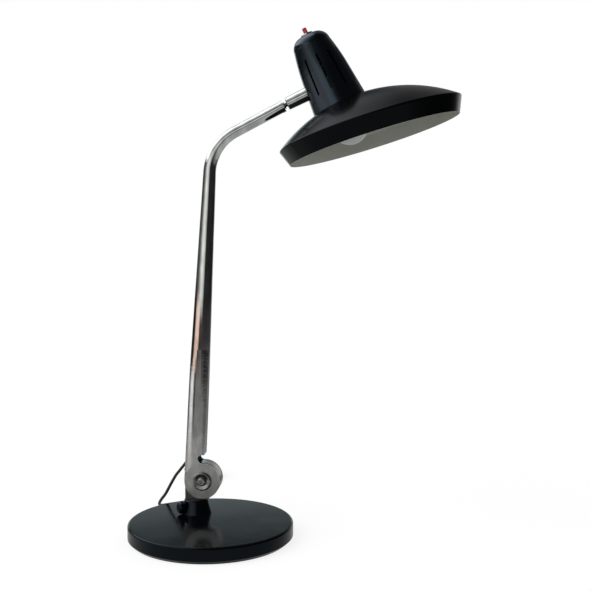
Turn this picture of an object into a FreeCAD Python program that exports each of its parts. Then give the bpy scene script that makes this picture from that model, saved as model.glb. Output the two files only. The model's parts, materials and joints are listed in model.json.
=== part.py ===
import FreeCAD, Part
import math
import os

import Sketcher

# A desk lamp: a heavy round foot, a tapered bent arm on a friction hinge that also
# swivels, and a vented housing with a wide shade on a ball joint at the arm's end.
# Lengths are in millimetres. The origin is under the middle of the foot, +Z is up,
# the arm stands in a plane parallel to XZ and the shade is towards +X.

Vector = FreeCAD.Vector
doc = FreeCAD.newDocument("desk_lamp")
sheet = doc.addObject("Spreadsheet::Sheet", "sizes")


class Size:
    """A number that also knows the sheet expression which gives it."""

    def __init__(self, text, value):
        self.text = text
        self.value = value

    def join(self, other, sign, value):
        other_text = other.text if isinstance(other, Size) else repr(other)
        return Size("(" + self.text + " " + sign + " " + other_text + ")", value)

    def __add__(self, other):
        return self.join(other, "+", self.value + plain(other))

    def __sub__(self, other):
        return self.join(other, "-", self.value - plain(other))

    def __mul__(self, other):
        return self.join(other, "*", self.value * plain(other))

    def __truediv__(self, other):
        return self.join(other, "/", self.value / plain(other))

    def __neg__(self):
        return Size("(-1 * " + self.text + ")", -self.value)


def plain(value):
    """The bare number of a Size or of a number."""
    return value.value if isinstance(value, Size) else value


def sine(angle):
    return Size("sin(" + angle.text + ")", math.sin(math.radians(angle.value)))


def cosine(angle):
    return Size("cos(" + angle.text + ")", math.cos(math.radians(angle.value)))


def root(value):
    return Size("sqrt(" + value.text + ")", math.sqrt(value.value))


def square(value):
    return value * value


next_row = 1


def size(name, value):
    """Write one driving dimension into the sheet, under its alias."""
    global next_row
    cell = "B" + str(next_row)
    sheet.set("A" + str(next_row), name)
    sheet.set(cell, str(value))
    sheet.setAlias(cell, name)
    next_row = next_row + 1
    return Size("sizes." + name, float(value))


# Fits that many pieces share
quarter_turn = size("quarter_turn", 90)
running_gap = size("running_gap", 0.3)
pin_fit = size("pin_fit", 0.05)
cut_over = size("cut_over", 1.0)

# The foot
base_diameter = size("base_diameter", 180)
base_foot_diameter = size("base_foot_diameter", 175)
base_top_height = size("base_top_height", 18)
base_tuck_height = size("base_tuck_height", 3.6)
base_edge_round = size("base_edge_round", 2.2)
felt_thickness = size("felt_thickness", 1.2)
felt_margin = size("felt_margin", 1.5)
recess_diameter = size("recess_diameter", 46)
recess_roof_height = size("recess_roof_height", 10)

# The black boss that carries the swivel, off the middle of the foot
swivel_x = size("swivel_x", -22)
arm_plane_y = size("arm_plane_y", 33)
boss_height = size("boss_height", 15)
boss_top_diameter = size("boss_top_diameter", 27.4)
boss_bottom_diameter = size("boss_bottom_diameter", 34.6)
boss_edge_round = size("boss_edge_round", 1.4)
boss_screw_count = size("boss_screw_count", 3)
boss_screw_circle = size("boss_screw_circle", 26)
boss_screw_diameter = size("boss_screw_diameter", 3.8)
boss_screw_head_diameter = size("boss_screw_head_diameter", 6.2)
boss_screw_head_height = size("boss_screw_head_height", 2.2)
boss_screw_depth = size("boss_screw_depth", 6)
lock_height = size("lock_height", 7.6)
lock_turn = size("lock_turn", 216)
lock_thread_diameter = size("lock_thread_diameter", 4)
lock_thread_depth = size("lock_thread_depth", 8)
lock_knob_diameter = size("lock_knob_diameter", 14)
lock_knob_length = size("lock_knob_length", 5.5)
lock_knob_round = size("lock_knob_round", 3.6)
lock_knob_gap = size("lock_knob_gap", 0.2)

# The swivelling hinge block
stud_diameter = size("stud_diameter", 12)
stud_grip = size("stud_grip", 8)
stud_end_height = size("stud_end_height", 3)
swivel_washer_thickness = size("swivel_washer_thickness", 0.9)
swivel_washer_diameter = size("swivel_washer_diameter", 25.4)
spring_washer_thickness = size("spring_washer_thickness", 1.1)
spring_washer_diameter = size("spring_washer_diameter", 19)
swivel_nut_flats = size("swivel_nut_flats", 16)
swivel_nut_thickness = size("swivel_nut_thickness", 4.8)
hinge_x = size("hinge_x", -13.5)
hinge_z = size("hinge_z", 55.8)
cheek_diameter = size("cheek_diameter", 40)
cheek_thickness = size("cheek_thickness", 2.5)
hinge_depth = size("hinge_depth", 22)
friction_disc_thickness = size("friction_disc_thickness", 1.3)
friction_disc_diameter = size("friction_disc_diameter", 32)
ear_right_reach = size("ear_right_reach", 5.4)
ear_edge_round = size("ear_edge_round", 0.8)
bush_diameter = size("bush_diameter", 9)
slot_clearance = size("slot_clearance", 0.8)

# The hinge bolt and what is on it
bolt_diameter = size("bolt_diameter", 6)
bolt_head_diameter = size("bolt_head_diameter", 9.4)
bolt_head_height = size("bolt_head_height", 2.8)
bolt_head_corner = size("bolt_head_corner", 1.4)
bolt_socket_diameter = size("bolt_socket_diameter", 3.4)
bolt_socket_depth = size("bolt_socket_depth", 1.6)
cap_diameter = size("cap_diameter", 20.8)
cap_height = size("cap_height", 3)
cap_round = size("cap_round", 1.3)
cap_land_diameter = size("cap_land_diameter", 17)
cap_dish = size("cap_dish", 0.8)
rear_washer_diameter = size("rear_washer_diameter", 17)
rear_washer_thickness = size("rear_washer_thickness", 1.5)
bolt_spring_diameter = size("bolt_spring_diameter", 11)
bolt_spring_thickness = size("bolt_spring_thickness", 1.4)
nut_flats = size("nut_flats", 10)
nut_thickness = size("nut_thickness", 5)
nut_dome_height = size("nut_dome_height", 3.6)
bolt_blind_gap = size("bolt_blind_gap", 0.8)

# The arm: a tapered tube whose square lower end is forked, bent near the top
arm_lean = size("arm_lean", 3.25)
arm_column_length = size("arm_column_length", 372.79)
arm_hinge_offset = size("arm_hinge_offset", 10.752)
arm_rise = size("arm_rise", 27.25)
arm_bend_radius = size("arm_bend_radius", 52)
arm_top_diameter = size("arm_top_diameter", 12.4)
arm_neck_diameter = size("arm_neck_diameter", 14.2)
arm_waist_diameter = size("arm_waist_diameter", 21.6)
arm_waist_drop = size("arm_waist_drop", 226)
arm_foot_width = size("arm_foot_width", 22)
arm_foot_back_corner = size("arm_foot_back_corner", 9.5)
arm_foot_front_corner = size("arm_foot_front_corner", 2.5)
arm_foot_rise = size("arm_foot_rise", 29.79)
arm_wall = size("arm_wall", 1.3)
arm_upper_length = size("arm_upper_length", 87)
arm_back_wall_drop = size("arm_back_wall_drop", 1.5)
arm_hollow_drop = size("arm_hollow_drop", 6.5)
notch_back = size("notch_back", 1.7)
notch_rise = size("notch_rise", 24.6)
notch_diameter = size("notch_diameter", 9.4)

# The arm's end fitting and the ball stud
ferrule_diameter = size("ferrule_diameter", 13.4)
ferrule_ring_length = size("ferrule_ring_length", 3.7)
ferrule_plug_length = size("ferrule_plug_length", 10)
ferrule_groove_width = size("ferrule_groove_width", 0.7)
ferrule_groove_depth = size("ferrule_groove_depth", 0.6)
shank_diameter = size("shank_diameter", 6)
shank_bore = size("shank_bore", 2.6)
clip_diameter = size("clip_diameter", 9)
clip_thickness = size("clip_thickness", 1)
clip_setback = size("clip_setback", 1.2)
collar_diameter = size("collar_diameter", 7.8)
collar_thickness = size("collar_thickness", 1)
neck_diameter = size("neck_diameter", 4.8)
ball_diameter = size("ball_diameter", 10.4)
ball_reach = size("ball_reach", 12.5)

# The sleeve that grips the ball
sleeve_mouth_diameter = size("sleeve_mouth_diameter", 13.8)
sleeve_wall_diameter = size("sleeve_wall_diameter", 15)
sleeve_mouth_reach = size("sleeve_mouth_reach", 5)
sleeve_mouth_chamfer = size("sleeve_mouth_chamfer", 0.7)
sleeve_lip_reach = size("sleeve_lip_reach", 3.2)
sleeve_mouth_opening = size("sleeve_mouth_opening", 10.2)
sleeve_bore_depth = size("sleeve_bore_depth", 14)
sleeve_length = size("sleeve_length", 18.4)
spigot_diameter = size("spigot_diameter", 8)
spigot_bore = size("spigot_bore", 4.4)
spigot_length = size("spigot_length", 9)
spigot_nut_flats = size("spigot_nut_flats", 12)
spigot_nut_thickness = size("spigot_nut_thickness", 2.6)
spigot_nut_seat = size("spigot_nut_seat", 2.4)
cup_start = size("cup_start", 2.2)
cup_end = size("cup_end", 6.4)
cup_bore = size("cup_bore", 4)
spring_wire = size("spring_wire", 0.9)
spring_mean_diameter = size("spring_mean_diameter", 8.4)
spring_turns = size("spring_turns", 3.5)

# The housing over the lampholder
head_tilt = size("head_tilt", 25.5)
housing_seam_radius = size("housing_seam_radius", 30.5)
housing_waist_radius = size("housing_waist_radius", 26.5)
housing_waist_height = size("housing_waist_height", 40.3)
housing_shoulder_radius = size("housing_shoulder_radius", 21.1)
housing_shoulder_height = size("housing_shoulder_height", 70.7)
housing_crown_radius = size("housing_crown_radius", 13.6)
housing_crown_height = size("housing_crown_height", 81.5)
housing_height = size("housing_height", 83.35)
housing_flank_round = size("housing_flank_round", 260)
housing_shoulder_round = size("housing_shoulder_round", 12.5)
housing_top_round = size("housing_top_round", 45)
housing_wall = size("housing_wall", 1.2)
housing_flange_inner = size("housing_flange_inner", 20.5)
housing_flange_thickness = size("housing_flange_thickness", 1.8)
seam_gap = size("seam_gap", 0.12)
vent_count = size("vent_count", 11)
closed_vent_count = size("closed_vent_count", 1)
vent_width = size("vent_width", 2.4)
vent_bottom = size("vent_bottom", 15.3)
vent_top = size("vent_top", 57.3)
vent_turn = size("vent_turn", -156.7)
sleeve_height = size("sleeve_height", 26.3)

# The shade
shade_sphere_radius = size("shade_sphere_radius", 169)
shade_corner_radius = size("shade_corner_radius", 102.4)
shade_opening_radius = size("shade_opening_radius", 95.4)
shade_band_height = size("shade_band_height", 17.4)
shade_tilt = size("shade_tilt", 17)
shade_wall = size("shade_wall", 1)
shade_corner_round = size("shade_corner_round", 1.6)
shade_lip = size("shade_lip", 1.6)
shade_hole_radius = size("shade_hole_radius", 21.5)
clamp_outer_radius = size("clamp_outer_radius", 27.4)
clamp_thickness = size("clamp_thickness", 1.2)
clamp_screw_count = size("clamp_screw_count", 3)
clamp_screw_circle = size("clamp_screw_circle", 48)
clamp_screw_diameter = size("clamp_screw_diameter", 2.6)
clamp_screw_head_diameter = size("clamp_screw_head_diameter", 5)
clamp_screw_head_height = size("clamp_screw_head_height", 1.8)
clamp_screw_stand = size("clamp_screw_stand", 1.6)

# The lampholder and the bulb
holder_radius = size("holder_radius", 14)
holder_wall = size("holder_wall", 1.8)
holder_bottom = size("holder_bottom", 7.4)
holder_shoulder_radius = size("holder_shoulder_radius", 16.6)
holder_shoulder_height = size("holder_shoulder_height", 2.6)
holder_side_height = size("holder_side_height", 32.5)
holder_top_height = size("holder_top_height", 37)
holder_neck_radius = size("holder_neck_radius", 9.5)
holder_lead_hole = size("holder_lead_hole", 4)
holder_ring_radius = size("holder_ring_radius", 17.6)
holder_ring_height = size("holder_ring_height", 5)
insert_height = size("insert_height", 6)
insert_start = size("insert_start", 25)
screw_shell_radius = size("screw_shell_radius", 8.2)
screw_shell_wall = size("screw_shell_wall", 0.6)
screw_shell_start = size("screw_shell_start", 1.5)
screw_shell_flange = size("screw_shell_flange", 10.4)
contact_radius = size("contact_radius", 2.4)
contact_socket = size("contact_socket", 2)
bulb_cap_radius = size("bulb_cap_radius", 7)
bulb_cap_start = size("bulb_cap_start", 3)
bulb_cap_height = size("bulb_cap_height", 17)
bulb_tip_radius = size("bulb_tip_radius", 2.4)
bulb_tip_height = size("bulb_tip_height", 2)
bulb_radius = size("bulb_radius", 20.2)
bulb_shoulder_radius = size("bulb_shoulder_radius", 16.5)
bulb_neck_round = size("bulb_neck_round", 38)
bulb_tip_drop = size("bulb_tip_drop", 45.3)
bulb_neck_radius = size("bulb_neck_radius", 6.6)
bulb_neck_length = size("bulb_neck_length", 4)
bulb_wall = size("bulb_wall", 0.8)

# The push switch in the housing's top
switch_radius = size("switch_radius", 8)
switch_bottom_height = size("switch_bottom_height", 57.3)
switch_neck_radius = size("switch_neck_radius", 4.8)
switch_seat_gap = size("switch_seat_gap", 0.9)
switch_cavity_radius = size("switch_cavity_radius", 4.4)
switch_floor = size("switch_floor", 3)
switch_roof = size("switch_roof", 3)
switch_nut_radius = size("switch_nut_radius", 6.8)
switch_nut_thickness = size("switch_nut_thickness", 1.1)
button_radius = size("button_radius", 2.4)
button_fit = size("button_fit", 0.1)
button_tip_height = size("button_tip_height", 91.6)
button_round = size("button_round", 0.9)
button_collar_radius = size("button_collar_radius", 3.8)
button_collar_thickness = size("button_collar_thickness", 1.6)
button_tail_length = size("button_tail_length", 6)

# The mains cord
cord_diameter = size("cord_diameter", 3.5)
lead_diameter = size("lead_diameter", 3.2)
wire_diameter = size("wire_diameter", 2)
exit_rise = size("exit_rise", 22.29)
exit_across = size("exit_across", -6)
grommet_flange_diameter = size("grommet_flange_diameter", 8.4)
grommet_flange_thickness = size("grommet_flange_thickness", 1.4)
grommet_hole_diameter = size("grommet_hole_diameter", 6)
grommet_end_diameter = size("grommet_end_diameter", 4.8)
grommet_length = size("grommet_length", 20)
coil_x = size("coil_x", -54.2)
coil_y = size("coil_y", 250)
coil_mean_diameter = size("coil_mean_diameter", 35)
coil_pitch = size("coil_pitch", 3.94)
coil_layer_turns = size("coil_layer_turns", 2.25)
coil_climb_swell = size("coil_climb_swell", 0.75)
plug_x = size("plug_x", -46)
plug_y = size("plug_y", 152)
plug_turn = size("plug_turn", 8.5)
plug_length = size("plug_length", 34)
plug_width = size("plug_width", 24)
plug_rear_width = size("plug_rear_width", 13)
plug_thickness = size("plug_thickness", 13.6)
plug_edge_round = size("plug_edge_round", 2.4)
plug_neck_diameter = size("plug_neck_diameter", 7)
plug_neck_length = size("plug_neck_length", 9)
pin_diameter = size("pin_diameter", 4)
pin_length = size("pin_length", 19)
pin_depth = size("pin_depth", 8)
pin_spacing = size("pin_spacing", 18.6)
tie_width = size("tie_width", 4)
tie_thickness = size("tie_thickness", 0.6)
tie_slack = size("tie_slack", 0.3)
tie_turn = size("tie_turn", 80)

doc.recompute()

# Places that follow from the sizes
boss_top_z = base_top_height + boss_height
ear_half = hinge_depth / 2 - cheek_thickness - friction_disc_thickness - running_gap
ear_bottom_z = boss_top_z + running_gap + swivel_washer_thickness
stud_radius = stud_diameter / 2
cheek_radius = cheek_diameter / 2
# The arm stands on its hinge: its elbow is the column's length up from there
elbow_x = hinge_x - arm_hinge_offset * cosine(arm_lean) + arm_column_length * sine(arm_lean)
elbow_z = hinge_z + arm_hinge_offset * sine(arm_lean) + arm_column_length * cosine(arm_lean)
exit_drop = arm_column_length - exit_rise
ball_along = arm_upper_length + ball_reach
ball_x = elbow_x + ball_along * cosine(arm_rise)
ball_z = elbow_z + ball_along * sine(arm_rise)
# The head hangs on the ball: the housing's axis is this far from the ball's centre
housing_local_slope = (housing_seam_radius - housing_waist_radius) / housing_waist_height
housing_radius_at_sleeve = housing_seam_radius - sleeve_height * housing_local_slope
head_offset = housing_radius_at_sleeve + sleeve_length
seam_x = ball_x + head_offset * cosine(head_tilt) + sleeve_height * sine(head_tilt)
seam_z = ball_z + head_offset * sine(head_tilt) - sleeve_height * cosine(head_tilt)
# The housing stands square on the shade's dome, so its axis meets the dome's centre
seam_drop = root(square(shade_sphere_radius) - square(housing_seam_radius))
dome_x = seam_x + seam_drop * sine(head_tilt)
dome_z = seam_z - seam_drop * cosine(head_tilt)
corner_rise = root(square(shade_sphere_radius) - square(shade_corner_radius))
opening_drop = corner_rise - shade_band_height
shade_x = dome_x - opening_drop * sine(shade_tilt)
shade_z = dome_z + opening_drop * cosine(shade_tilt)

made = []


def place(piece, x, y, z, axis=None, angle=None):
    """Bind a piece's place, and its turn about one axis in degrees."""
    if axis is not None:
        piece.Placement = FreeCAD.Placement(Vector(), FreeCAD.Rotation(axis, plain(angle)))
        if isinstance(angle, Size):
            piece.setExpression("Placement.Rotation.Angle", angle.text)
    for letter, value in zip("xyz", (x, y, z)):
        if isinstance(value, Size):
            piece.setExpression("Placement.Base." + letter, value.text)


def new_body(label):
    body = doc.addObject("PartDesign::Body", label)
    body.Label = label
    return body


def new_sketch(body, role):
    """A sketch on one of the body's own origin planes."""
    plane = [part for part in body.Origin.OriginFeatures if part.Role == role][0]
    drawn = body.newObject("Sketcher::SketchObject", body.Name + "_sketch")
    drawn.AttachmentSupport = [(plane, "")]
    drawn.MapMode = "FlatFace"
    return drawn


def pin_point(drawn, curve, end, across, up):
    """Hold the end of a curve at two named coordinates."""
    for kind, line, value in (("DistanceX", -2, across), ("DistanceY", -1, up)):
        if isinstance(value, Size):
            number = drawn.addConstraint(
                Sketcher.Constraint(kind, -1, 1, curve, end, value.value)
            )
            drawn.setExpression("Constraints[" + str(number) + "]", value.text)
        else:
            drawn.addConstraint(Sketcher.Constraint("PointOnObject", curve, end, line))


def arc_middle(start, end, radius):
    """The middle of an arc; a positive radius bulges to the left of start to end."""
    chord = end - start
    half = chord.Length / 2
    bulge = abs(radius) - math.sqrt(max(radius * radius - half * half, 0))
    left = Vector(-chord.y, chord.x, 0).normalize()
    side = 1 if radius > 0 else -1
    return (start + end) * 0.5 + left * (bulge * side)


def outline(drawn, points):
    """Draw a closed outline. A point is (across, up), and a third entry makes the
    edge to the next point an arc of that radius, positive for a bulge to the left."""
    spots = [Vector(plain(p[0]), plain(p[1]), 0) for p in points]
    first = drawn.GeometryCount
    for index, point in enumerate(points):
        start = spots[index]
        end = spots[(index + 1) % len(points)]
        if len(point) > 2:
            radius = plain(point[2])
            middle = arc_middle(start, end, radius)
            # The sketcher keeps arcs that turn to the left
            arc = Part.Arc(end, middle, start) if radius > 0 else Part.Arc(start, middle, end)
            drawn.addGeometry(arc)
        else:
            drawn.addGeometry(Part.LineSegment(start, end))
    ends = []
    for index, point in enumerate(points):
        curve = first + index
        backwards = len(point) > 2 and plain(point[2]) > 0
        ends.append((2, 1) if backwards else (1, 2))
    for index, point in enumerate(points):
        curve = first + index
        following = first + (index + 1) % len(points)
        drawn.addConstraint(
            Sketcher.Constraint(
                "Coincident", curve, ends[index][1], following, ends[(index + 1) % len(points)][0]
            )
        )
        pin_point(drawn, curve, ends[index][0], point[0], point[1])
        if len(point) > 2:
            radius = point[2]
            number = drawn.addConstraint(
                Sketcher.Constraint("Radius", curve, abs(plain(radius)))
            )
            text = radius.text if plain(radius) > 0 else (-radius).text
            drawn.setExpression("Constraints[" + str(number) + "]", text)


def ring(drawn, radius, across=0, up=0):
    """Draw a circle of a named radius."""
    circle = Part.Circle(Vector(plain(across), plain(up), 0), Vector(0, 0, 1), plain(radius))
    curve = drawn.addGeometry(circle)
    number = drawn.addConstraint(Sketcher.Constraint("Radius", curve, plain(radius)))
    drawn.setExpression("Constraints[" + str(number) + "]", radius.text)
    pin_point(drawn, curve, 3, across, up)


def turned(label, points):
    """A turned piece: the outline of (radius, height) points spun about its own Z."""
    body = new_body(label)
    drawn = new_sketch(body, "XZ_Plane")
    outline(drawn, points)
    spin = body.newObject("PartDesign::Revolution", label + "_turned")
    spin.Profile = drawn
    spin.ReferenceAxis = (drawn, ["V_Axis"])
    spin.Angle = 360
    doc.recompute()
    made.append(body)
    return body


def tube_ring(label, inner, outer, low, high):
    """A plain washer, bush or tube between two radii and two heights."""
    return turned(label, [(inner, low), (outer, low), (outer, high), (inner, high)])


def keep(piece, label):
    """Name a finished piece and put it on the list to write."""
    piece.Label = label
    made.append(piece)
    return piece


def held_shape(label, shape):
    """A piece whose shape is worked out below from the sheet's sizes."""
    piece = doc.addObject("Part::Feature", label)
    piece.Shape = shape
    return keep(piece, label)


def along_y(body, y, x=hinge_x, z=hinge_z):
    """Lay a turned piece along +Y, its own zero at the given y."""
    place(body, x, y, z, Vector(-1, 0, 0), 90)


def in_head(piece):
    """Put a piece made in the housing's own frame on the housing's axis."""
    place(piece, seam_x, arm_plane_y, seam_z, Vector(0, -1, 0), head_tilt)


def round_edges(body, feature, names, radius):
    """Round the named edges of a body's last feature."""
    rounded = body.newObject("PartDesign::Fillet", body.Name + "_round")
    rounded.Base = (doc.getObject(feature), names)
    rounded.setExpression("Radius", radius.text)
    body.Tip = rounded
    doc.recompute()


def pad(body, drawn, label, length, side):
    """Pad a sketch to one side, or to both sides alike."""
    made_pad = body.newObject("PartDesign::Pad", label)
    made_pad.Profile = drawn
    made_pad.setExpression("Length", length.text)
    made_pad.Midplane = side == "both"
    made_pad.Reversed = side == "under"
    doc.recompute()
    return made_pad


def pocket(body, drawn, label, length, side):
    """Cut a sketch into a body, over the plane or under it."""
    before = body.Shape.Volume
    made_pocket = body.newObject("PartDesign::Pocket", label)
    made_pocket.Profile = drawn
    made_pocket.setExpression("Length", length.text)
    made_pocket.Reversed = side == "over"
    doc.recompute()
    if body.Shape.Volume >= before:
        raise ValueError(label + " cuts nothing")
    return made_pocket


def pattern(body, features, label, count):
    """Repeat features evenly around the body's own Z."""
    axis = [part for part in body.Origin.OriginFeatures if part.Role == "Z_Axis"][0]
    repeated = body.newObject("PartDesign::PolarPattern", label)
    repeated.Originals = features
    repeated.Axis = (axis, [""])
    repeated.Angle = 360
    repeated.setExpression("Occurrences", count.text)
    body.Tip = repeated
    doc.recompute()
    return repeated


def rod(label, radius, height, x, y, z, axis=None, angle=None):
    """A plain cylinder, as a tool or as a part of a piece."""
    cylinder = doc.addObject("Part::Cylinder", label)
    cylinder.setExpression("Radius", radius.text)
    cylinder.setExpression("Height", height.text)
    place(cylinder, x, y, z, axis, angle)
    return cylinder


def cut(label, base, tools):
    """Take tools out of a piece; the result is the piece that is written."""
    if base in made:
        made.remove(base)
        base.Label = label + "_blank"
    result = base
    for index, tool in enumerate(tools):
        following = doc.addObject("Part::Cut", label + "_cut_" + str(index + 1))
        following.Base = result
        following.Tool = tool
        result = following
    doc.recompute()
    return keep(result, label)


# The foot

def make_base():
    radius = base_diameter / 2
    foot = base_foot_diameter / 2
    body = turned(
        "base_disc",
        [
            (0, felt_thickness),
            (foot, felt_thickness),
            (radius, base_tuck_height),
            (radius, base_top_height - base_edge_round, -base_edge_round),
            (radius - base_edge_round, base_top_height),
            (0, base_top_height),
        ],
    )
    recess = new_sketch(body, "XY_Plane")
    ring(recess, recess_diameter / 2, swivel_x, arm_plane_y)
    pocket(body, recess, "recess", recess_roof_height, "over")
    bore = new_sketch(body, "XY_Plane")
    ring(bore, stud_radius + pin_fit, swivel_x, arm_plane_y)
    pocket(body, bore, "stud_bore", base_top_height + cut_over, "over")
    holes = []
    for number in range(3):
        turn = quarter_turn * (4 * number / 3)
        hole = rod(
            "boss_screw_hole_" + str(number + 1),
            boss_screw_diameter / 2 + pin_fit,
            base_top_height + cut_over,
            swivel_x + boss_screw_circle / 2 * cosine(turn),
            arm_plane_y + boss_screw_circle / 2 * sine(turn),
            0,
        )
        holes.append(hole)
    cut("base_disc", body, holes)
    turned(
        "base_felt",
        [(0, 0), (foot - felt_margin, 0), (foot - felt_margin, felt_thickness), (0, felt_thickness)],
    )


def make_boss():
    low = boss_bottom_diameter / 2
    top = boss_top_diameter / 2
    body = turned(
        "swivel_boss",
        [
            (stud_radius + pin_fit, 0),
            (low, 0),
            (top, boss_height - boss_edge_round, -boss_edge_round),
            (top - boss_edge_round, boss_height),
            (stud_radius + pin_fit, boss_height),
        ],
    )
    place(body, swivel_x, arm_plane_y, base_top_height)
    holes = []
    for number in range(3):
        turn = quarter_turn * (4 * number / 3)
        hole = rod(
            "boss_thread_" + str(number + 1),
            boss_screw_diameter / 2,
            boss_screw_depth,
            swivel_x + boss_screw_circle / 2 * cosine(turn),
            arm_plane_y + boss_screw_circle / 2 * sine(turn),
            base_top_height,
        )
        holes.append(hole)
    axis = Vector(-plain(sine(lock_turn)), plain(cosine(lock_turn)), 0)
    seat = lock_seat()
    start = seat - lock_thread_depth
    holes.append(
        rod(
            "lock_thread",
            lock_thread_diameter / 2,
            lock_thread_depth,
            swivel_x + start * cosine(lock_turn),
            arm_plane_y + start * sine(lock_turn),
            base_top_height + lock_height,
            axis,
            quarter_turn,
        )
    )
    cut("swivel_boss", body, holes)


def lock_seat():
    """How far out the lock screw's head starts, clear of the boss's slanted side."""
    low = boss_bottom_diameter / 2
    top = boss_top_diameter / 2
    rise = lock_height - lock_knob_diameter / 2
    return low - (low - top) * rise / (boss_height - boss_edge_round) + lock_knob_gap


def make_lock_screw():
    thread = lock_thread_diameter / 2
    knob = lock_knob_diameter / 2
    body = turned(
        "swivel_lock_screw",
        [
            (0, -lock_thread_depth),
            (thread, -lock_thread_depth),
            (thread, 0),
            (knob, 0),
            (knob, lock_knob_length - lock_knob_round, -lock_knob_round),
            (knob - lock_knob_round, lock_knob_length),
            (0, lock_knob_length),
        ],
    )
    seat = lock_seat()
    axis = Vector(-plain(sine(lock_turn)), plain(cosine(lock_turn)), 0)
    place(
        body,
        swivel_x + seat * cosine(lock_turn),
        arm_plane_y + seat * sine(lock_turn),
        base_top_height + lock_height,
        axis,
        quarter_turn,
    )


def screw_group(label, count, circle, shank, head, head_height, up, side):
    """Like screws around an axis, as one group; the heads are under or over zero."""
    body = new_body(label)
    body.AllowCompound = True
    shank_sketch = new_sketch(body, "XY_Plane")
    ring(shank_sketch, shank / 2, circle / 2, 0)
    shank_pad = pad(body, shank_sketch, label + "_shank", up, "over")
    head_sketch = new_sketch(body, "XY_Plane")
    ring(head_sketch, head / 2, circle / 2, 0)
    head_pad = pad(body, head_sketch, label + "_head", head_height, side)
    pattern(body, [shank_pad, head_pad], label + "_pattern", count)
    made.append(body)
    return body


def make_boss_screws():
    count = boss_screw_count
    doc.recompute()
    body = screw_group(
        "boss_screws",
        count,
        boss_screw_circle,
        boss_screw_diameter,
        boss_screw_head_diameter,
        boss_screw_head_height,
        base_top_height - recess_roof_height + boss_screw_depth,
        "under",
    )
    place(body, swivel_x, arm_plane_y, recess_roof_height)


# The swivelling hinge block

def make_ear():
    drop = hinge_z - ear_bottom_z
    span = square(ear_right_reach) + square(drop)
    reach = root(span - square(cheek_radius))
    # The point where a line from the ear's lower right corner touches the drum
    touch_x = cheek_radius * (cheek_radius * ear_right_reach + reach * drop) / span
    touch_z = cheek_radius * (reach * ear_right_reach - cheek_radius * drop) / span
    body = new_body("hinge_ear")
    drawn = new_sketch(body, "XZ_Plane")
    outline(
        drawn,
        [
            (-cheek_radius, -drop),
            (ear_right_reach, -drop),
            (touch_x, touch_z, -cheek_radius),
            (0, cheek_radius, -cheek_radius),
            (-cheek_radius, 0),
        ],
    )
    ring(drawn, bush_diameter / 2)
    pad(body, drawn, "ear_pad", ear_half * 2, "both")
    made.append(body)
    place(body, hinge_x, arm_plane_y, hinge_z)
    socket = rod(
        "stud_socket",
        stud_radius,
        stud_grip + cut_over,
        swivel_x,
        arm_plane_y,
        ear_bottom_z - cut_over,
    )
    cut("hinge_ear", body, [socket])


def make_swivel():
    stud = turned(
        "swivel_stud",
        [
            (0, stud_end_height),
            (stud_radius, stud_end_height),
            (stud_radius, ear_bottom_z + stud_grip),
            (0, ear_bottom_z + stud_grip),
        ],
    )
    place(stud, swivel_x, arm_plane_y, 0)
    washer = tube_ring(
        "swivel_washer",
        stud_radius,
        swivel_washer_diameter / 2,
        ear_bottom_z - swivel_washer_thickness,
        ear_bottom_z,
    )
    place(washer, swivel_x, arm_plane_y, 0)
    spring_top = recess_roof_height - running_gap
    spring = tube_ring(
        "swivel_spring_washer",
        stud_radius,
        spring_washer_diameter / 2,
        spring_top - spring_washer_thickness,
        spring_top,
    )
    place(spring, swivel_x, arm_plane_y, 0)
    nut_top = spring_top - spring_washer_thickness
    hex_nut("swivel_nut", swivel_nut_flats, stud_radius, swivel_nut_thickness)
    place(doc.getObject("swivel_nut"), swivel_x, arm_plane_y, nut_top - swivel_nut_thickness)


def hex_nut(label, flats, bore, thickness):
    """A six-sided nut standing on its own XY plane."""
    half = flats / 2
    corner = flats / size_root_three
    body = new_body(label)
    drawn = new_sketch(body, "XY_Plane")
    outline(
        drawn,
        [
            (corner, 0),
            (corner / 2, half),
            (-corner / 2, half),
            (-corner, 0),
            (-corner / 2, -half),
            (corner / 2, -half),
        ],
    )
    if bore is not None:
        ring(drawn, bore)
    pad(body, drawn, label + "_pad", thickness, "over")
    made.append(body)
    return body


size_root_three = root(Size("3", 3.0))


# The hinge's bolt and what is on it

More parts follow.
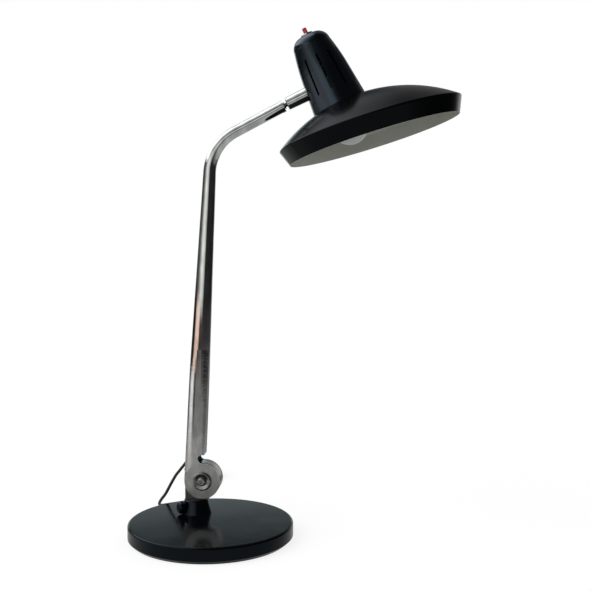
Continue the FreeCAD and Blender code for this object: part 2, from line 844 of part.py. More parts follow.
def make_hinge_hardware():
    front = arm_plane_y - hinge_depth / 2
    bore = bolt_diameter / 2
    nut_start = hinge_depth + rear_washer_thickness + bolt_spring_thickness
    bolt_end = nut_start + nut_thickness
    head = bolt_head_diameter / 2
    seat = -(cap_height - cap_dish)
    top = seat - bolt_head_height
    socket = bolt_socket_diameter / 2
    along_y(
        turned(
            "hinge_bolt",
            [
                (0, top + bolt_socket_depth),
                (socket, top + bolt_socket_depth),
                (socket, top),
                (head - bolt_head_corner, top, -bolt_head_corner),
                (head, top + bolt_head_corner),
                (head, seat),
                (bore, seat),
                (bore, bolt_end),
                (0, bolt_end),
            ],
        ),
        front,
    )
    edge = cap_diameter / 2
    land = cap_land_diameter / 2
    along_y(
        turned(
            "hinge_cap",
            [
                (bore, seat),
                (head, seat),
                (land, -cap_height),
                (edge - cap_round, -cap_height, -cap_round),
                (edge, cap_round - cap_height),
                (edge, 0),
                (bore, 0),
            ],
        ),
        front,
    )
    disc = friction_disc_diameter / 2
    inner_face = cheek_thickness + friction_disc_thickness
    along_y(tube_ring("friction_disc_front", bore, disc, cheek_thickness, inner_face), front)
    along_y(
        tube_ring(
            "friction_disc_rear", bore, disc, hinge_depth - inner_face, hinge_depth - cheek_thickness
        ),
        front,
    )
    bush = bush_diameter / 2
    ear_start = hinge_depth / 2 - ear_half
    along_y(
        tube_ring("hinge_bush", bore + pin_fit, bush, ear_start, hinge_depth - ear_start), front
    )
    washer_end = hinge_depth + rear_washer_thickness
    along_y(
        tube_ring("hinge_rear_washer", bore, rear_washer_diameter / 2, hinge_depth, washer_end),
        front,
    )
    along_y(
        tube_ring("hinge_spring_washer", bore, bolt_spring_diameter / 2, washer_end, nut_start),
        front,
    )
    hex_nut("hinge_nut", nut_flats, bore, nut_thickness)
    nut = doc.getObject("hinge_nut")
    made.remove(nut)
    dome_radius = nut_flats / 2
    dome = turned(
        "nut_dome",
        [
            (0, nut_thickness + bolt_blind_gap),
            (bore, nut_thickness + bolt_blind_gap),
            (bore, nut_thickness),
            (dome_radius, nut_thickness, -(dome_radius * dome_share)),
            (0, nut_thickness + nut_dome_height),
        ],
    )
    made.remove(dome)
    joined = doc.addObject("Part::Fuse", "hinge_cap_nut")
    joined.Base = nut
    joined.Tool = dome
    along_y(joined, front + nut_start)
    nut.Label = "hinge_nut_hexagon"
    doc.recompute()
    keep(joined, "hinge_nut")


dome_share = Size("1.25", 1.25)


# The arm, worked out in its own frame: zero at the elbow's corner, Z up the lower tube

def eight_edges(half, corners, height):
    """A square of four sides whose four corners are rounded each by its own radius."""
    edges = []
    for number, corner in enumerate(corners):
        flat = half - corner
        turn = FreeCAD.Rotation(Vector(0, 0, 1), 90 * number)
        start = turn.multVec(Vector(half, corners[number - 1] - half, height))
        side = turn.multVec(Vector(half, flat, height))
        slant = corner * math.sqrt(0.5)
        middle = turn.multVec(Vector(flat + slant, flat + slant, height))
        end = turn.multVec(Vector(flat, half, height))
        edges.append(Part.makeLine(start, side))
        edges.append(Part.Arc(side, middle, end).toShape())
    return Part.Wire(edges)


def eight_arcs(radius, height, flat):
    """A circle in the same eight edges as the rounded square."""
    narrow = math.degrees(math.asin(flat / radius))
    edges = []
    for number in range(4):
        for first, last in ((-narrow, narrow), (narrow, 90 - narrow)):
            spots = []
            for angle in (first, (first + last) / 2, last):
                turn = math.radians(angle + 90 * number)
                spots.append(Vector(radius * math.cos(turn), radius * math.sin(turn), height))
            edges.append(Part.Arc(*spots).toShape())
    return Part.Wire(edges)


def arm_solid(inset, foot_end, tip_extra):
    """The arm's outer form, or its hollow, which is the same form set in by a wall."""
    half = plain(arm_foot_width) / 2 - inset
    front = plain(arm_foot_front_corner) - inset
    back = plain(arm_foot_back_corner) - inset
    corners = (front, back, back, front)
    waist = plain(arm_waist_diameter) / 2 - inset
    neck = plain(arm_neck_diameter) / 2 - inset
    top = plain(arm_top_diameter) / 2 - inset
    foot = plain(arm_foot_rise - arm_column_length)
    waist_z = -plain(arm_waist_drop)
    turn = 90 - plain(arm_rise) - plain(arm_lean)
    tangent = plain(arm_bend_radius) * math.tan(math.radians(turn / 2))
    flat_end = waist * waist_flat_share
    sections = [eight_edges(half, corners, foot)]
    for share in blend_shares:
        eased = share * share * (3 - 2 * share)
        mid_half = half + (waist - half) * share
        mid_corners = []
        for corner in corners:
            mid_flat = (half - corner) + (flat_end - half + corner) * eased
            mid_corners.append(mid_half - mid_flat)
        sections.append(eight_edges(mid_half, mid_corners, foot + (waist_z - foot) * share))
    sections.append(eight_arcs(waist, waist_z, flat_end))
    lower = Part.makeLoft(sections, True, False)
    block = Part.Face(eight_edges(half, corners, foot)).extrude(Vector(0, 0, foot_end - foot))
    middle = Part.makeCone(waist, neck, -tangent - waist_z, Vector(0, 0, waist_z))
    # The bend narrows evenly from the middle tube to the upper one
    radius = plain(arm_bend_radius)
    centre = Vector(radius, 0, -tangent)

    def bend_point(angle):
        back = math.radians(angle)
        return centre + Vector(-radius * math.cos(back), 0, radius * math.sin(back))

    path = Part.Wire([Part.Arc(bend_point(0), bend_point(turn / 2), bend_point(turn)).toShape()])
    lean = math.radians(turn)
    onward = Vector(math.sin(lean), 0, math.cos(lean))
    sections = [
        Part.Wire([Part.Circle(bend_point(0), Vector(0, 0, 1), neck).toShape()]),
        Part.Wire([Part.Circle(bend_point(turn), onward, top).toShape()]),
    ]
    bend = path.makePipeShell(sections, True, False)
    upper_length = plain(arm_upper_length) - tangent + tip_extra
    upper = Part.makeCylinder(top, upper_length, bend_point(turn), onward)
    return block.multiFuse([lower, middle, bend, upper]).removeSplitter()


# How the square foot turns into the round tube: where the sections between stand
blend_shares = (0.34, 0.67)
waist_flat_share = 0.22


def hinge_in_arm():
    """The hinge's centre in the arm's own frame, which has its zero at the elbow."""
    return Vector(plain(arm_hinge_offset), 0, -plain(arm_column_length))


def in_arm(piece):
    place(piece, elbow_x, arm_plane_y, elbow_z, Vector(0, 1, 0), arm_lean)


def cross_rod(radius, centre, start, end):
    """A cylinder along Y, from one depth to another."""
    return Part.makeCylinder(
        radius, end - start, Vector(centre.x, start, centre.z), Vector(0, 1, 0)
    )


def make_arm():
    hinge = hinge_in_arm()
    over = plain(cut_over)
    half = plain(hinge_depth) / 2
    inner = half - plain(cheek_thickness)
    outer = arm_solid(0, hinge.z - plain(arm_back_wall_drop), 0)
    hollow_end = hinge.z + plain(cheek_radius + slot_clearance - arm_hollow_drop)
    hollow = arm_solid(plain(arm_wall), hollow_end, over)
    cheeks = []
    for start, end in ((-half, -inner), (inner, half)):
        disc = cross_rod(plain(cheek_radius), hinge, start, end)
        cheeks.append(disc)
    notch = Vector(hinge.x - plain(notch_back), 0, hinge.z + plain(notch_rise))
    body = outer.cut(hollow)
    body = body.cut(
        cross_rod(plain(cheek_radius) + plain(slot_clearance), hinge, -inner, inner)
    )
    body = body.multiFuse(cheeks)
    body = body.cut(cross_rod(plain(notch_diameter) / 2, notch, -half - over, half + over))
    body = body.cut(cross_rod(plain(bolt_diameter) / 2, hinge, -half - over, half + over))
    leaving = Vector(plain(exit_across), 0, -plain(exit_drop))
    body = body.cut(cross_rod(plain(grommet_hole_diameter) / 2, leaving, 0, half + over))
    arm = held_shape("arm_tube", body.removeSplitter())
    in_arm(arm)


def make_grommet():
    wall = arm_wall
    lean_x = exit_across * cosine(arm_lean) - exit_drop * sine(arm_lean)
    lean_z = -(exit_across * sine(arm_lean)) - exit_drop * cosine(arm_lean)
    bore = cord_diameter / 2
    hole = grommet_hole_diameter / 2
    flange = grommet_flange_diameter / 2
    body = turned(
        "cord_grommet",
        [
            (bore, -wall * 2),
            (hole, -wall * 2),
            (hole, 0),
            (flange, 0),
            (flange, grommet_flange_thickness),
            (hole, grommet_flange_thickness),
            (grommet_end_diameter / 2, grommet_length),
            (bore, grommet_length),
        ],
    )
    along_y(
        body,
        arm_plane_y + hinge_depth / 2,
        elbow_x + lean_x,
        elbow_z + lean_z,
    )
    return Vector(
        plain(elbow_x + lean_x),
        plain(arm_plane_y + hinge_depth / 2 + grommet_length),
        plain(elbow_z + lean_z),
    )


# The arm's end fitting and the ball stud, along the upper tube, zero at the ball

def along_arm(piece):
    place(piece, ball_x, arm_plane_y, ball_z, Vector(0, 1, 0), quarter_turn - arm_rise)


def make_arm_end():
    shank = shank_diameter / 2
    bore = shank + pin_fit
    tube_end = -ball_reach
    plug_end = tube_end - ferrule_plug_length
    face = tube_end + ferrule_ring_length
    plug = arm_top_diameter / 2 - arm_wall
    outer = ferrule_diameter / 2
    groove = outer - ferrule_groove_depth
    groove_start = tube_end + (ferrule_ring_length - ferrule_groove_width) / 2
    groove_end = groove_start + ferrule_groove_width
    along_arm(
        turned(
            "end_ferrule",
            [
                (bore, plug_end),
                (plug, plug_end),
                (plug, tube_end),
                (outer, tube_end),
                (outer, groove_start),
                (groove, groove_start),
                (groove, groove_end),
                (outer, groove_end),
                (outer, face),
                (bore, face),
            ],
        )
    )
    clip_start = plug_end - running_gap - clip_thickness
    shank_end = clip_start - clip_setback
    wire = shank_bore / 2
    collar = collar_diameter / 2
    collar_start = face + running_gap
    collar_end = collar_start + collar_thickness
    neck = neck_diameter / 2
    ball = ball_diameter / 2
    along_arm(
        turned(
            "ball_stud",
            [
                (wire, shank_end),
                (shank, shank_end),
                (shank, collar_start),
                (collar, collar_start),
                (collar, collar_end),
                (neck, collar_end),
                (neck, -root(square(ball) - square(neck)), -ball),
                (wire, root(square(ball) - square(wire))),
            ],
        )
    )
    along_arm(
        tube_ring("stud_clip", shank, clip_diameter / 2, clip_start, clip_start + clip_thickness)
    )


# The sleeve that grips the ball, square to the housing's axis, zero at the ball

def along_sleeve(piece):
    place(piece, ball_x, arm_plane_y, ball_z, Vector(0, 1, 0), quarter_turn - head_tilt)


def make_sleeve():
    seat = ball_diameter / 2 + pin_fit
    lip = root(square(seat) - square(sleeve_lip_reach))
    mouth = sleeve_mouth_diameter / 2
    wall_end = sleeve_wall_diameter / 2
    opening = sleeve_mouth_opening / 2
    spigot = spigot_diameter / 2
    wire = spigot_bore / 2
    over_end = sleeve_length + wall_end / 4
    body = turned(
        "joint_sleeve",
        [
            (opening, -sleeve_mouth_reach),
            (mouth - sleeve_mouth_chamfer, -sleeve_mouth_reach),
            (mouth, sleeve_mouth_chamfer - sleeve_mouth_reach),
            (wall_end, over_end),
            (spigot, over_end),
            (spigot, sleeve_length + spigot_length),
            (wire, sleeve_length + spigot_length),
            (wire, sleeve_bore_depth),
            (seat, sleeve_bore_depth),
            (seat, 0, seat),
            (lip, -sleeve_lip_reach),
        ],
    )
    along_sleeve(body)
    # The end of the sleeve is hollowed to sit on the housing's slanted side, round its spigot
    saddle = turned(
        "saddle_tool",
        [
            (housing_seam_radius + pin_fit, 0),
            (housing_waist_radius + pin_fit, housing_waist_height),
            (0, housing_waist_height),
            (0, 0),
        ],
    )
    made.remove(saddle)
    in_head(saddle)
    core = rod(
        "spigot_core",
        spigot,
        spigot_length + sleeve_length,
        ball_x,
        arm_plane_y,
        ball_z,
        Vector(0, 1, 0),
        quarter_turn - head_tilt,
    )
    hollow = doc.addObject("Part::Cut", "saddle_ring")
    hollow.Base = saddle
    hollow.Tool = core
    doc.recompute()
    cut("joint_sleeve", body, [hollow])
    cup = ball_diameter / 2 + pin_fit
    bore = cup_bore / 2
    along_sleeve(
        turned(
            "socket_cup",
            [
                (bore, root(square(cup) - square(bore)), cup),
                (root(square(cup) - square(cup_start)), cup_start),
                (cup, cup_start),
                (cup, cup_end),
                (bore, cup_end),
            ],
        )
    )
    nut_start = sleeve_length + spigot_nut_seat
    hex_nut("sleeve_nut", spigot_nut_flats, spigot, spigot_nut_thickness)
    nut = doc.getObject("sleeve_nut")
    place(
        nut,
        ball_x + nut_start * cosine(head_tilt),
        arm_plane_y,
        ball_z + nut_start * sine(head_tilt),
        Vector(0, 1, 0),
        quarter_turn - head_tilt,
    )


def make_socket_spring():
    """A compression spring between the cup and the sleeve's floor."""
    wire = plain(spring_wire)
    room = plain(sleeve_bore_depth - cup_end) - wire
    mean = plain(spring_mean_diameter) / 2
    pitch = room / plain(spring_turns)
    steps = round(plain(spring_turns) * arcs_in_turn)
    spots = []
    ways = []
    for number in range(steps + 1):
        angle = 2 * math.pi * number / arcs_in_turn
        height = plain(cup_end) + wire / 2 + room * number / steps
        spots.append(Vector(mean * math.cos(angle), mean * math.sin(angle), height))
        way = Vector(-math.sin(angle), math.cos(angle), pitch / (2 * math.pi * mean))
        ways.append(way.normalize())
    along_sleeve(tube("socket_spring", Part.Wire(arcs_through(spots, ways)), wire))


# The housing, in its own frame: zero where its rim meets the shade

def make_housing():
    seam = housing_seam_radius
    waist = housing_waist_radius
    shoulder = housing_shoulder_radius
    crown = housing_crown_radius
    wall = housing_wall
    neck = switch_neck_radius + pin_fit
    rim = housing_flange_inner
    rim_rise = root(square(shade_sphere_radius) - square(rim)) - seam_drop + seam_gap
    flange_top = rim_rise + housing_flange_thickness
    inner_seam = seam - wall - (seam - waist) * flange_top / housing_waist_height
    body = turned(
        "lamp_housing",
        [
            (rim, rim_rise, shade_sphere_radius + seam_gap),
            (seam, seam_gap),
            (waist, housing_waist_height, -housing_flank_round),
            (shoulder, housing_shoulder_height, -housing_shoulder_round),
            (crown, housing_crown_height, -housing_top_round),
            (neck, housing_height),
            (neck, housing_height - wall, housing_top_round - wall),
            (crown - wall / 2, housing_crown_height - wall, housing_shoulder_round - wall),
            (shoulder - wall, housing_shoulder_height - wall / 2, housing_flank_round - wall),
            (waist - wall, housing_waist_height),
            (inner_seam, flange_top),
            (rim, flange_top),
        ],
    )
    slot = new_sketch(body, "YZ_Plane")
    slot.AttachmentOffset = FreeCAD.Placement(
        Vector(), FreeCAD.Rotation(Vector(0, 1, 0), plain(vent_turn))
    )
    slot.setExpression("AttachmentOffset.Rotation.Angle", vent_turn.text)
    half = vent_width / 2
    outline(
        slot,
        [
            (-half, vent_bottom + half),
            (0, vent_bottom),
            (half, vent_bottom + half),
            (half, vent_top - half),
            (0, vent_top),
            (-half, vent_top - half),
        ],
    )
    vent = pocket(body, slot, "vent_slot", seam + cut_over, "over")
    # The place behind the arm's sleeve has no slot
    vents = pattern(body, [vent], "vent_slots", vent_count - closed_vent_count)
    full_turn = vents.Angle.Value
    swept = (vent_count - closed_vent_count - 1) / vent_count * full_turn
    vents.setExpression("Angle", swept.text)
    doc.recompute()
    hole = new_sketch(body, "YZ_Plane")
    ring(hole, spigot_diameter / 2, 0, sleeve_height)
    pocket(body, hole, "spigot_hole", seam + cut_over, "under")
    in_head(body)
    threads = in_head_holes("flange_thread", clamp_screw_diameter / 2, flange_top + cut_over)
    cut("lamp_housing", body, [threads])


def in_head_holes(label, radius, height):
    """Three rods through the clamp, the shade and the housing's flange."""
    body = new_body(label)
    body.AllowCompound = True
    drawn = new_sketch(body, "XY_Plane")
    ring(drawn, radius, clamp_screw_circle / 2, 0)
    rods = pad(body, drawn, label + "_pad", height * 2, "both")
    pattern(body, [rods], label + "_pattern", clamp_screw_count)
    in_head(body)
    return body


def make_shade():
    corner = shade_corner_radius
    opening = shade_opening_radius
    sphere = shade_sphere_radius
    wall = shade_wall
    apex = sphere - opening_drop
    inner_apex = sphere - wall - opening_drop
    inner_corner = corner - wall
    inner_height = root(square(sphere - wall) - square(inner_corner)) - opening_drop
    body = turned(
        "shade",
        [
            (opening - wall, 0),
            (opening, 0),
            (corner, shade_band_height, -sphere),
            (0, apex),
            (0, inner_apex, sphere - wall),
            (inner_corner, inner_height),
        ],
    )
    round_edges(
        body,
        "shade_turned",
        edges_at(body.Shape, plain(corner), plain(shade_band_height)),
        shade_corner_round,
    )
    place(body, shade_x, arm_plane_y, shade_z, Vector(0, -1, 0), shade_tilt)
    hole = new_body("shade_hole_tool")
    drawn = new_sketch(hole, "XY_Plane")
    ring(drawn, shade_hole_radius)
    pad(hole, drawn, "shade_hole_pad", shade_hole_radius, "both")
    in_head(hole)
    screws = in_head_holes("shade_screw_holes", clamp_screw_diameter / 2 + pin_fit, shade_hole_radius)
    cut("shade", body, [hole, screws])


def edges_at(shape, radius, height):
    """The names of the edges that go round at a radius and a height."""
    names = []
    for number, edge in enumerate(shape.Edges):
        spot = edge.valueAt(edge.FirstParameter)
        if abs(math.hypot(spot.x, spot.y) - radius) < 1e-4 and abs(spot.z - height) < 1e-4:
            middle = edge.valueAt((edge.FirstParameter + edge.LastParameter) / 2)
            if abs(middle.z - height) < 1e-4:
                names.append("Edge" + str(number + 1))
    return names


def make_clamp():
    top = root(square(shade_sphere_radius - shade_wall) - square(clamp_outer_radius)) - seam_drop
    body = tube_ring(
        "clamp_ring", holder_radius + pin_fit, clamp_outer_radius, top - clamp_thickness, top
    )
    in_head(body)
    holes = in_head_holes("clamp_screw_holes", clamp_screw_diameter / 2 + pin_fit, holder_radius)
    cut("clamp_ring", body, [holes])
    low = top - clamp_thickness
    rim_rise = root(square(shade_sphere_radius) - square(housing_flange_inner)) - seam_drop
    screw_top = rim_rise + seam_gap + housing_flange_thickness + clamp_screw_stand
    screws = screw_group(
        "shade_screws",
        clamp_screw_count,
        clamp_screw_circle,
        clamp_screw_diameter,
        clamp_screw_head_diameter,
        clamp_screw_head_height,
        screw_top - low,
        "under",
    )
    place(
        screws,
        seam_x - low * sine(head_tilt),
        arm_plane_y,
        seam_z + low * cosine(head_tilt),
        Vector(0, -1, 0),
        head_tilt,
    )
    return top


# The lampholder and its bulb

def make_lampholder(clamp_top):
    outer = holder_radius
    inner = holder_radius - holder_wall
    shoulder = holder_shoulder_radius
    lead = holder_lead_hole / 2
    low = clamp_top - clamp_thickness
    in_head(
        turned(
            "lampholder_shell",
            [
                (inner, -holder_bottom),
                (outer, -holder_bottom),
                (outer, clamp_top),
                (shoulder, clamp_top),
                (shoulder, clamp_top + holder_shoulder_height),
                (outer, clamp_top + holder_shoulder_height),
                (outer, holder_side_height),
                (holder_neck_radius, holder_top_height),
                (lead, holder_top_height),
                (lead, holder_top_height - holder_wall),
                (holder_neck_radius - holder_wall / 2, holder_top_height - holder_wall),
                (inner, holder_side_height - holder_wall / 2),
            ],
        )
    )
    in_head(
        tube_ring("lampholder_ring", outer, holder_ring_radius, low - holder_ring_height, low)
    )
    insert_top = insert_start + insert_height
    contact = contact_radius
    in_head(
        turned(
            "holder_insert",
            [
                (contact, insert_start),
                (inner - pin_fit, insert_start),
                (inner - pin_fit, insert_top),
                (0, insert_top),
                (0, insert_start + contact_socket),
                (contact, insert_start + contact_socket),
            ],
        )
    )
    shell_inner = screw_shell_radius - screw_shell_wall
    in_head(
        turned(
            "screw_shell",
            [
                (shell_inner, screw_shell_start),
                (screw_shell_radius, screw_shell_start),
                (screw_shell_radius, insert_start - screw_shell_wall),
                (screw_shell_flange, insert_start - screw_shell_wall),
                (screw_shell_flange, insert_start),
                (shell_inner, insert_start),
            ],
        )
    )
    cap_top = bulb_cap_start + bulb_cap_height
    tip_top = cap_top + bulb_tip_height
    in_head(
        turned(
            "centre_contact",
            [
                (0, tip_top),
                (contact, tip_top),
                (contact, insert_start + contact_socket),
                (0, insert_start + contact_socket),
            ],
        )
    )
    cap = bulb_cap_radius
    in_head(
        turned(
            "bulb_cap",
            [
                (0, bulb_cap_start + bulb_neck_length),
                (bulb_neck_radius, bulb_cap_start + bulb_neck_length),
                (bulb_neck_radius, bulb_cap_start),
                (cap, bulb_cap_start),
                (cap, cap_top),
                (bulb_tip_radius, cap_top),
                (bulb_tip_radius, tip_top),
                (0, tip_top),
            ],
        )
    )
    ball = bulb_radius
    wide = bulb_shoulder_radius
    middle = ball - bulb_tip_drop
    shoulder_up = middle + root(square(ball) - square(wide))
    thin = bulb_wall
    inner_wide = wide - thin
    inner_up = middle + root(square(ball - thin) - square(inner_wide))
    in_head(
        turned(
            "bulb_glass",
            [
                (0, -bulb_tip_drop, -ball),
                (ball, middle, -ball),
                (wide, shoulder_up, bulb_neck_round),
                (bulb_neck_radius, bulb_cap_start),
                (bulb_neck_radius, bulb_cap_start + bulb_neck_length),
                (bulb_neck_radius - thin, bulb_cap_start + bulb_neck_length),
                (bulb_neck_radius - thin, bulb_cap_start, -(bulb_neck_round + thin)),
                (inner_wide, inner_up, ball - thin),
                (ball - thin, middle, ball - thin),
                (0, thin - bulb_tip_drop),
            ],
        )
    )




# The push switch in the crown of the housing

def make_switch():
    body_radius = switch_radius
    neck = switch_neck_radius
    crown_rise = housing_top_round - root(square(housing_top_round) - square(switch_radius))
    body_top = housing_height - housing_wall - crown_rise - switch_seat_gap
    nut_low = housing_height + pin_fit
    nut_top = nut_low + switch_nut_thickness
    bore = button_radius + button_fit
    cavity = switch_cavity_radius
    roof = body_top - switch_roof
    in_head(
        turned(
            "switch_body",
            [
                (0, switch_bottom_height),
                (body_radius, switch_bottom_height),
                (body_radius, body_top),
                (neck, body_top),
                (neck, nut_top),
                (bore, nut_top),
                (bore, roof),
                (cavity, roof),
                (cavity, switch_bottom_height + switch_floor),
                (0, switch_bottom_height + switch_floor),
            ],
        )
    )
    in_head(tube_ring("switch_nut", neck, switch_nut_radius, nut_low, nut_top))
    button = button_radius
    collar_top = roof - running_gap
    collar_low = collar_top - button_collar_thickness
    in_head(
        turned(
            "switch_button",
            [
                (0, collar_low - button_tail_length),
                (button, collar_low - button_tail_length),
                (button, collar_low),
                (button_collar_radius, collar_low),
                (button_collar_radius, collar_top),
                (button, collar_top),
                (button, button_tip_height - button_round, -button_round),
                (button - button_round, button_tip_height),
                (0, button_tip_height),
            ],
        )
    )


# Leads and the mains cord

def tube_path(points):
    """Straight runs joined by tangent arcs, each as large as its two runs allow."""
    edges = []
    radii = []
    start = points[0]
    for before, corner, after in zip(points, points[1:], points[2:]):
        back = before - corner
        onward = after - corner
        turn = math.pi - back.getAngle(onward)
        reach = tangent_share * min(back.Length, onward.Length)
        radius = reach / math.tan(turn / 2)
        radii.append(radius)
        first = corner + back.normalize() * reach
        last = corner + onward.normalize() * reach
        inward = (first + last) * 0.5 - corner
        to_centre = math.hypot(radius, reach)
        middle = corner + inward.normalize() * (to_centre - radius)
        edges.append(Part.makeLine(start, first))
        edges.append(Part.Arc(first, middle, last).toShape())
        start = last
    edges.append(Part.makeLine(start, points[-1]))
    return Part.Wire(edges), radii


tangent_share = 0.45


def tube(label, wire, diameter):
    """Sweep a round section along a path, and compare its volume with its length."""
    first = wire.OrderedEdges[0]
    start = wire.OrderedVertexes[0].Point
    along = first.tangentAt(first.FirstParameter)
    section = Part.Wire([Part.Circle(start, along, diameter / 2).toShape()])
    solid = wire.makePipeShell([section], True, False)
    expected = math.pi * diameter * diameter / 4 * wire.Length
    print(label, "length", round(wire.Length, 1), "volume share", round(solid.Volume / expected, 5))
    return held_shape(label, solid)


def biarc(start, start_way, end, end_way):
    """Two arcs that leave one point and reach another along given directions."""
    step = end - start
    ways = start_way + end_way
    closing = 2 * (1 - start_way.dot(end_way))
    along = step.dot(ways)
    reach = (math.sqrt(along * along + closing * step.dot(step)) - along) / closing
    middle = (start + end + (start_way - end_way) * reach) * 0.5
    arcs = []
    for first, last, corner in (
        (start, middle, start + start_way * reach),
        (middle, end, end - end_way * reach),
    ):
        base = (first + last) * 0.5
        chord = (last - first).Length
        slant = math.atan2((corner - base).Length, chord / 2)
        top = base + (corner - base).normalize() * (chord / 2 * math.tan(slant / 2))
        arcs.append(Part.Arc(first, top, last).toShape())
    return arcs


def arcs_through(spots, ways):
    """A chain of paired arcs through some points, along the given direction at each."""
    edges = []
    for number in range(len(spots) - 1):
        edges.extend(biarc(spots[number], ways[number], spots[number + 1], ways[number + 1]))
    return edges


arcs_in_turn = 4


def coil_spot(turns):
    """The coil's middle line: how far out and how high it is after so many turns."""
    winding = plain(coil_layer_turns)
    pitch = plain(coil_pitch)
    spread = pitch * winding
    layer = min(int(turns / (winding + climb_turns)), coil_layers - 1)
    into = turns - layer * (winding + climb_turns)
    wound = min(into, winding)
    share = (into - wound) / climb_turns
    eased = share * share * (3 - 2 * share)
    swell = plain(coil_climb_swell) * math.sin(math.pi * share)
    inner = plain(coil_mean_diameter) / 2 - spread / 2
    if layer % 2:
        return inner + pitch * wound + swell, (layer + eased) * pitch
    return inner + spread - pitch * wound - swell, (layer + eased) * pitch


# Two layers wind in and two wind out, with a half turn to climb between them
coil_layers = 4
climb_turns = 0.5


def coil_point(turns):
    radius, height = coil_spot(turns)
    angle = 2 * math.pi * turns
    return Vector(
        plain(coil_x) + radius * math.cos(angle),
        plain(coil_y) + radius * math.sin(angle),
        coil_floor() + height,
    )


def coil_floor():
    """The height of the cord's middle in the coil's lowest layer, on its tie."""
    return plain(tie_thickness + tie_slack / 2 + cord_diameter / 2)


def coil_path():
    total = coil_layers * plain(coil_layer_turns) + (coil_layers - 1) * climb_turns
    steps = round(total * arcs_in_turn)
    nudge = 1e-4
    stub = plain(cord_diameter)
    spots = [coil_point(total * number / steps) for number in range(steps + 1)]
    ways = []
    for number in range(steps + 1):
        turns = total * number / steps
        way = coil_point(min(turns + nudge, total)) - coil_point(max(turns - nudge, 0))
        ways.append(way.normalize())
    ways[0] = Vector(0, 1, 0)
    ways[-1] = Vector(0, -1, 0)
    edges = [Part.makeLine(spots[0] - ways[0] * stub, spots[0])]
    edges.extend(arcs_through(spots, ways))
    edges.append(Part.makeLine(spots[-1], spots[-1] + ways[-1] * stub))
    wire = Part.Wire(edges)
    # The least gap between turns, on points along the middle line
    samples = [coil_point(total * number / (steps * 8)) for number in range(steps * 8 + 1)]
    near = min(
        (samples[a] - samples[b]).Length
        for a in range(len(samples))
        for b in range(a + 16, len(samples))
    )
    print("cord_coil least gap", round(near - plain(cord_diameter), 3), "turns", total)
    return wire, spots[0] - ways[0] * stub, spots[-1] + ways[-1] * stub


# The cord's way, chosen by hand: from the strain relief's tip down behind the foot,
# across the floor to the coil, and from the coil to the plug
upper_route = [
    (-29.1, 72, 78.9),
    (-31.2, 79.4, 76.7),
    (-35.2, 85, 72.4),
    (-40.9, 88, 65.4),
    (-48.2, 88.4, 56),
    (-57, 87.6, 45),
]
lower_route = [
    (-57, 87.6, 45),
    (-63.4, 86.6, 34),
    (-69, 86, 22.5),
    (-74.9, 87.4, 15.3),
    (-79, 92.9, 8.7),
    (-79.7, 101.6, 3.8),
    (-76, 110.6, 1.75),
    (-66.3, 118.9, 1.75),
    (-52.1, 119.5, 1.75),
    (-39, 124, 1.75),
    (-32, 136, 1.75),
    (-29.8, 156, 1.75),
    (-29.6, 184, 1.8),
    (-31, 214, 2.3),
]
tail_route = [
    (-76, 237, 14.1),
    (-72.4, 228.2, 12.4),
    (-66.2, 220.6, 10.2),
    (-59.2, 213.6, 8.1),
    (-54.4, 204.6, 6.9),
]


def make_cords():
    tip = make_grommet()
    thick = plain(cord_diameter)
    falling = [Vector(*spot) for spot in upper_route]
    lying = [Vector(*spot) for spot in lower_route]
    # The two stretches ride on different bodies, so they stop just short of each other
    half_gap = plain(running_gap) / 2
    falling[-1] -= (falling[-1] - falling[-2]).normalize() * half_gap
    lying[0] += (lying[1] - lying[0]).normalize() * half_gap
    upper, upper_radii = tube_path([tip] + falling)
    wound, coil_start, coil_end = coil_path()
    lower, lower_radii = tube_path(lying + [coil_start])
    plug_way = Vector(math.sin(math.radians(plain(plug_turn))), 0, 0)
    plug_way.y = -math.cos(math.radians(plain(plug_turn)))
    rear = plain(plug_length + plug_neck_length)
    plug_rear = Vector(plain(plug_x), plain(plug_y), plain(plug_thickness) / 2) - plug_way * rear
    plug_rear -= plug_way * plain(seam_gap)
    tail, tail_radii = tube_path([coil_end] + [Vector(*spot) for spot in tail_route] + [plug_rear])
    tube("cord_upper", upper, thick)
    tube("cord_lower", lower, thick)
    tube("cord_coil", wound, thick)
    tube("cord_tail", tail, thick)
    for label, radii in (("upper", upper_radii), ("lower", lower_radii), ("tail", tail_radii)):
        print("cord", label, "radii", [round(radius, 1) for radius in radii])
    outside = upper.Length + lower.Length + wound.Length + tail.Length
    print("cord length outside the lamp", round(outside + plain(grommet_length), 1))
    print("coil from", coil_start, "to", coil_end, "plug rear", plug_rear)


